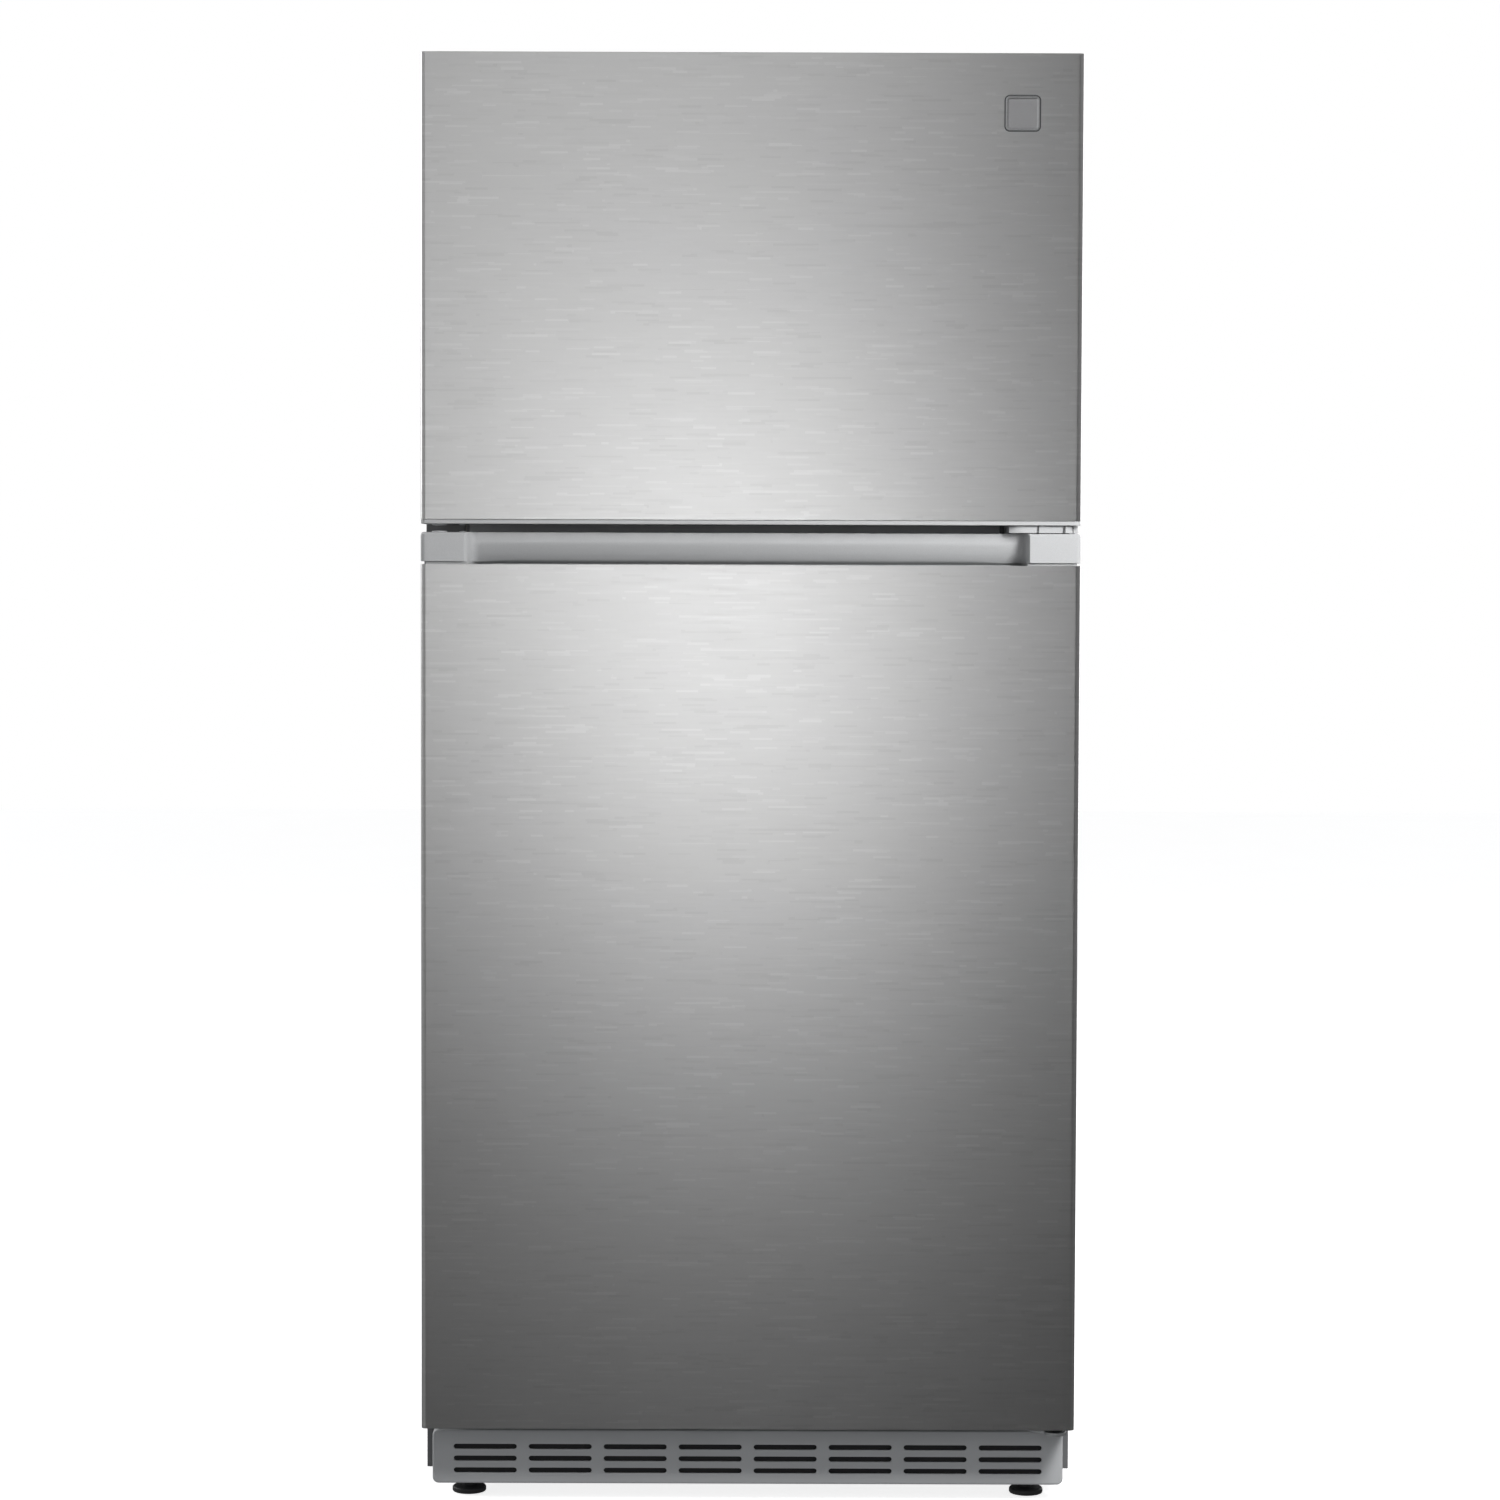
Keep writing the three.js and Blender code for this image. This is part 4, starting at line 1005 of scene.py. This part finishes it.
def ledges(half, y, top):
    """Rounded support rails on both side walls."""
    reach, thick = 9.5, 5
    shape = []
    for side in (-1, 1):
        wall, edge = side * (half + 1), side * (half - reach)
        outline = [(wall, top), (edge, top), (edge, top - thick), (wall, top - thick - 3)]
        shape += prism(round_off(outline, 2.2, 3), "y", y)
    return shape


def flange(node, half):
    """The liner's flat rim, which covers the foam's front edge, on a backing with square corners."""
    low, high = cad(node)
    reach, radius, face = high.x - half, 5.6, low.y
    shape = []
    for start, end, lift_off, corner in ((0, reach + 0.4, 0.4, radius + reach), (0.1, 0.7 * reach, 0.7, 1)):
        near, far = face + lift_off, face + lift_off + 1.6
        rim = [(start, near), (start, far), (end, far), (end, near)]
        shape += nest("y", low, high, rim, corner, closed=True)
    return shape


def liners():
    front = cad("fridge_liner")[0].y + 0.5
    crest = cad("base_frame")[1].z + 33.5
    sill, top, back, half = 152, 1088, 330, 328
    outline = [(front, sill), (118, sill), (140, crest), (back, crest + 10), (back, top), (front, top)]
    tub("fridge_liner", outline, half, (0.7, 0.9, 0.7, 1, 1), (0.2, 0.4, 0.6, 1, 0.8))
    shape = []
    for shelf_frame in ("upper_shelf_frame", "lower_shelf_frame", "crisper_cover_frame"):
        shape += ledges(half, (-200, 300), cad(shelf_frame)[0].z - 0.3)
    make("fridge_liner_ledges", shape + flange("fridge_liner", half), "white_plastic", edge=0.5)
    sill, top, back, half = 1190, 1600, 325, 318
    outline = [(front, sill), (back, sill), (back, top), (front, top)]
    tub("freezer_liner", outline, half, (1, 1), (0.25, 1, 0.8))
    shape = ledges(half, (-200, 225), cad("freezer_shelf")[0].z - 0.3)
    make("freezer_liner_ledges", shape + flange("freezer_liner", half), "white_plastic", edge=0.5)


def shelf(name):
    """A white frame with round corners and a pane that lies in its rebate."""
    low, high = cad(name + "_frame")
    seat = cad(name + "_glass")[0].z - 0.3
    bottom, top, rebate, rim = low.z, high.z, 8, 18
    profile = above(bottom, (1.2, 0), (0, 1.2)) + above(top, (0, -1.6), (0.5, -0.5), (1.6, 0), (7.2, 0))
    profile += [(rebate, top - 0.7), (rebate, seat), (rim, seat), (rim, bottom + 1), (rim - 1, bottom)]
    stand_in(name + "_frame", nest("z", low, high, profile, 12, closed=True))
    low, high = cad(name + "_glass")
    stand_in(name + "_glass", plate("z", low, high, (low.z, high.z), 5, 0.7))


def freezer_shelf():
    """A pane with a white rail along its front and back edges."""
    low, high = cad("freezer_shelf")
    pane_low, pane_high = low + Vector((1, 4, 1.5)), high - Vector((1, 4, 1.5))
    stand_in("freezer_shelf", plate("z", pane_low, pane_high, (pane_low.z, pane_high.z), 5, 0.7))
    rails = joined(plate("y", low, high, (y, y + 14), 2.4, 1) for y in (low.y, high.y - 14))
    make("freezer_shelf_rails", rails, "white_plastic")


def crisper(node):
    low, high = cad(node)
    front, top = low.y + 10, high.z - 4
    stand_in(node, tray(Vector((low.x, front, low.z)), high, 16, wall=2.6))
    curl = [(front + 1.4, top), (low.y + 3, top), (low.y, top - 3), (low.y, top - 15)]
    curl += [(low.y + 2.2, top - 15), (low.y + 2.6, top - 5), (front + 1.4, top - 3.4)]
    pull = prism(round_off(curl, 3, 3), "x", (low.x + 30, high.x - 30))
    make(node + "_pull", pull, "white_plastic", BODY_OF[node], edge=0.6)


def humidity_sliders():
    """A slide in a slot above each crisper, on the front edge of its cover."""
    face, z = cad("crisper_cover_frame")[0].y, centre_of("crisper_cover_frame").z
    for name, slot, shift, half, rise, depth, radius, edge in (
        ("humidity_tracks", "grey_plastic", 0, 34, 4, (-0.5, 0.6), 3.8, 0.3),
        ("humidity_sliders", "white_plastic", 12, 9, 4.8, (-3.4, 0.2), 2.5, 0.9),
    ):
        shape = []
        for x in (shift - 164, shift + 164):
            levels = [face + value for value in depth]
            shape += plate("y", (x - half, z - rise), (x + half, z + rise), levels, radius, edge)
        make(name, shape, slot)


def evaporator_cover():
    low, high = cad("evaporator_cover")
    fan_level = centre_of("evaporator_fan").z
    grids = joined(slot_grid(spaced(9, 62), 2, 14, 44, 6, level) for level in (1568, 1212))
    grids += slot_grid([0], 6, 14, 84, 6, fan_level)
    cutter = slots(grids, (low.y - 4, high.y + 4))
    sheet = plate("y", low, high, (low.y, high.y), 4, 0.6)
    stand_in("evaporator_cover", sheet, edge=0.4, angle=40, cutter=cutter)
    half, width = Vector((70, 62)), 6
    middle = Vector((0, fan_level))
    ridge = mirrored(above(low.y, (0, 0.3), (0.8, -1.4), (2, -1.9)), width)
    rim = nest("y", middle - half, middle + half, ridge, 22, closed=True)
    make("evaporator_cover_ridge", rim, "white_plastic")
    places = [(x, low.y, z) for x in (-290, 290) for z in (1250, 1540)]
    screws("evaporator_cover_screws", places, "y", -1, 4)


def evaporator_coil():
    """Thin fins on a tube that runs to and fro."""
    low, high = cad("evaporator_coil")
    fins, thin = 56, 0.25
    middle, spans = (low + high) / 2, ((low.y, high.y), (low.z, high.z))
    places = spaced(fins, (high.x - low.x - 2) / (fins - 1), middle.x)
    stand_in("evaporator_coil", joined(block((x - thin, x + thin), *spans) for x in places))
    ends, levels = (high.x + 8, low.x - 8), spaced(6, 34, middle.z)
    tubes = joined(serpentine(ends, y, levels, 16, 4) for y in (low.y + 14, high.y - 14))
    make("evaporator_tubes", tubes, "aluminium")


def motor(node, centre, axis, radius, span):
    """A round motor can with end caps, over the plain bracket of the CAD node."""
    start, end = span
    cap = (0.6 * radius, 0), (radius + 0.6, 1.5), (radius + 1, 3), (radius + 1, 6), (radius + 0.3, 6.6)
    far_cap = [(reach, end - rise) for reach, rise in reversed(cap)]
    make(node + "_can", lathe(above(start, *cap) + far_cap, centre, axis, 40), "black_paint")
    carry(node, 0.0005)


def air_duct():
    low, high = cad("fridge_air_duct")
    outside = above(low.y, (6, 0), (1.8, 1.6), (0, 6)) + above(high.y, (0, 0))
    inside = above(high.y, (2.6, 0)) + above(low.y, (2.6, 6), (6, 2.6))
    grids = joined(slot_grid([-40, 40], 3, 12, 50, 5, level) for level in (460, 700, 960))
    cutter = slots(grids, (low.y - 4, low.y + 10))
    shape = nest("y", low, high, outside + inside, 16)
    stand_in("fridge_air_duct", shape, edge=0.4, angle=40, cutter=cutter)


def lamp_housing():
    """The housing under the ceiling: a frosted lens, the switch sleeve and marks around the knob."""
    low, high = cad("lamp_housing")
    front, bore = low.y + 10, 5.2
    outside = above(low.z, (8, 0), (2.4, 2.2), (0, 8)) + above(high.z, (0, 0))
    shape = nest("z", (low.x, front), (high.x, high.y), outside, 14)
    x, _, z = centre_of("light_switch")
    hole = stack((x, front - 1, z), "y", 1, [(bore, 0), (bore, 26)])
    stand_in("lamp_housing", shape, edge=0.4, angle=50, cutter=hole)
    lip = above(low.y, (11, 1.4), (10, 0), (6, 0), (bore, 0.8))
    sleeve = lathe(above(front, (bore, 0.2), (11, 0.2)) + lip, (x, 0, z), "y", closed=True)
    make("light_switch_sleeve", sleeve, SLOT_OF["lamp_housing"])
    lens = plate("z", (-62, front + 22), (98, high.y - 22), (low.z - 0.8, low.z + 3), 10, 0.8)
    make("lamp_lens", lens, "lamp_lens")
    x, _, z = centre_of("fridge_knob")
    marks = []
    for step in range(7):
        turn, start, end, half = math.radians(45 * (step - 1)), 14.2, 14.6 + 0.1 * step, 0.5
        cos, sin = math.cos(turn), math.sin(turn)
        corners = [(start, -half), (end, -half), (end, half), (start, half)]
        outline = [(x + u * cos - v * sin, z + u * sin + v * cos) for u, v in corners]
        marks += prism(outline, "y", (front - 0.25, front + 0.3))
    make("fridge_dial_marks", marks, "dark_trim")


def knob(node):
    """A fluted dial with a finger ridge and a dark index line."""
    low, high = cad(node)
    x, _, z = centre_of(node)
    radius, face, tip = (high.x - low.x) / 2, high.y - 6, low.y
    steps, each = 72, 3
    rows = [(radius - 0.4, high.y, 0), (radius, high.y - 0.6, 0.5), (radius - 0.3, face + 1, 0.5)]
    rows += [(radius - 1.2, face + 0.2, 0), (radius - 2.6, face, 0), (3, face - 0.2, 0)]
    loops = []
    for outer, y, flute in rows:
        reaches = [outer - flute * (step % each == 0) for step in range(steps)]
        loops.append([(x + reach * u, y, z + reach * v) for reach, (u, v) in zip(reaches, circle(1, steps))])
    half, size = 3, radius - 3
    ridge = above(face, (0, 1)) + above(tip, (0.2, 2.4), (0.8, 0.8), (2, 0))
    dial = shell(loops) + nest("y", (x - half, z - size), (x + half, z + size), ridge, 2.9)
    stand_in(node, dial, edge=0.2, segments=1)
    line = plate("y", (x - 0.7, z + 0.3 * size), (x + 0.7, z + 0.9 * size), (tip, tip + 0.5), 0.6, 0.1)
    make(node + "_index", line, "dark_trim", BODY_OF[node])


def light_switch():
    low, high = cad("light_switch")
    x, _, z = centre_of("light_switch")
    plunger = above(low.y, (1.5, 0), (3.2, 0.5), (4.2, 1.8), (4.5, 3.6)) + above(high.y, (4.5, 0))
    stand_in("light_switch", lathe(plunger, (x, 0, z), "y"))


# ---------------------------------------------------------------- machine compartment


def compressor():
    """A welded steel pot on rubber feet, with its terminal cover and copper pipes."""
    x, y, _ = centre_of("compressor")
    top, base = cad("compressor")[1].z, 84
    pot = above(base, (40, 0), (66, 0), (80, 18), (81, 64))
    seam = above(base, (84, 64), (84, 68), (80, 69))
    dome = above(base, (80, 70), (80, 106), (71, 138), (46, 156)) + above(top, (4, 0))
    shape = lathe([*round_off(pot, 14, 6), *seam, *round_off(dome, 24, 7)], (x, y, 0), "z", 56)
    shape += plate("z", (x - 98, y - 72), (x + 98, y + 72), (base - 4, base - 1), 18, 0.8)
    shape += plate("x", (y - 26, 120), (y + 26, 180), (x - 96, x - 72), 6, 3)
    stand_in("compressor", shape, edge=0.6, angle=50)
    foot = [(8, 72.4), (10, 73.4), (10, 75.4), (7.5, 76.4), (7.5, 77.6), (10, 78.6), (10, 84), (8, 85)]
    feet = joined(lathe(foot, (x + u, y + v, 0), "z", 24) for u in (-84, 84) for v in (-58, 58))
    make("compressor_grommets", feet, "gasket_rubber")
    pipes = []
    for radius, route in (
        (4, ((60, -30, 200), (92, -50, 200), (92, -50, 280))),
        (3.2, ((-40, 60, 196), (-50, 84, 196), (-50, 84, 280), (-10, 84, 286))),
        (3.2, ((-60, -40, 110), (-92, -62, 110), (-92, -62, 262))),
    ):
        pipes += pipe(round_off([(x + u, y + v, z) for u, v, z in route], 18), radius)
    make("compressor_pipes", pipes, "copper")


def condenser_coil():
    low, high = cad("condenser_coil")
    tube, pitch, wire_radius, beside = 4, 24, 0.8, 4.6
    ends, rows = (low.x + tube, high.x - tube), (low.y + tube, high.y - tube)
    levels = [104 + i * pitch for i in range(7)]
    stand_in("condenser_coil", joined(serpentine(ends, y, levels, pitch / 2, tube, 12) for y in rows))
    places = [(x, y + side) for x in spaced(12, 14, -240) for y in rows for side in (-beside, beside)]
    wires = joined(pipe([(x, y, 98), (x, y, 254)], wire_radius, 6) for x, y in places)
    make("condenser_wires", wires, "black_paint")


def drain_pan():
    stand_in("drain_pan", tray(*cad("drain_pan"), 14, wall=1.8))


def fan(centre, axis, radius, count):
    """A hub with a domed face and twisted, cambered blades."""
    hub, tilt, rings, section = 15, 32, 7, 12
    shape = []
    for blade in range(count):
        loops = []
        for row in range(rings):
            share = row / (rings - 1)
            reach = 0.85 * hub + (radius - 0.85 * hub) * share
            chord = 26 + 16 * math.sin(math.pi * (0.2 + 0.6 * share))
            slope = math.radians(tilt * (1 - 0.35 * share))
            loop = []
            for u, v in circle(1, section):
                along, camber = 0.5 * chord * u, 0.55 * v * v
                around = 2 * math.pi * blade / count + (along * math.cos(slope) + 5 * share) / reach
                point = (reach * math.cos(around), reach * math.sin(around))
                level = along * math.sin(slope) + 0.9 * v + camber
                loop.append(Vector(lift([point], axis, level)[0]) + centre)
            loops.append(loop)
        shape += shell(loops)
    face = [(3.5, 10), (0.6 * hub, 10.8), (0.9 * hub, 9), (hub, 6)]
    return shape + lathe([*face, (hub, -9), (hub - 2, -10.8), (3.5, -10.8)], centre, axis, closed=True)


def fans():
    for name, axis, radius, blades, can_radius, span in (
        ("evaporator_fan", "y", 48, 4, 26, (292, 319)),
        ("condenser_fan", "x", 62, 5, 24, (-66, -34)),
    ):
        spin = pivot_of(name + "_spin")
        stand_in(name, fan(spin, axis, radius, blades))
        foot = lift([flat(spin, axis)], axis, 0)[0]
        motor(name + "_motor", foot, axis, can_radius, span)


# ---------------------------------------------------------------- everything


def doors():
    freezer_skin()
    door_skin("fridge_door_skin")
    badge()
    handle()
    hole_plugs()
    for door, bins in (
        ("freezer_door", ("freezer_bin_upper", "freezer_bin_lower")),
        ("fridge_door", ("dairy_bin", "fridge_bin_middle", "fridge_bin_lower")),
    ):
        gasket(door + "_gasket")
        door_liner(door + "_liner", bins)
        for bin_node in bins:
            bin_tray(bin_node)
    dairy_lid()


def cabinet():
    back_panel()
    machine_cover()
    cord_gland()
    toe_grille()
    mullion_trim()
    sill_front()
    hinge_cover()
    hinge_screws()
    hinge_cap()
    hinge_bushings()
    for side in ("left", "right"):
        leveling_leg("leveling_leg_" + side)
        roller("rear_roller_" + side)


def inside():
    liners()
    for name in ("upper_shelf", "lower_shelf", "crisper_cover"):
        shelf(name)
    freezer_shelf()
    crisper("crisper_left")
    crisper("crisper_right")
    humidity_sliders()
    evaporator_cover()
    evaporator_coil()
    air_duct()
    lamp_housing()
    knob("fridge_knob")
    knob("freezer_knob")
    light_switch()
    compressor()
    condenser_coil()
    drain_pan()
    fans()


CARRIED = {
    0.0009: ("cabinet_shell",),
    0: ("base_frame", "cabinet_foam", "freezer_door_foam", "fridge_door_foam"),
    0.0006: ("mullion_cover", "top_hinge", "center_hinge", "bottom_hinge"),
    0.0008: ("freezer_door_top_cap", "freezer_door_bottom_cap", "fridge_door_bottom_cap"),
}

studio()
doors()
cabinet()
inside()
for width, nodes in CARRIED.items():
    for node in nodes:
        carry(node, width)
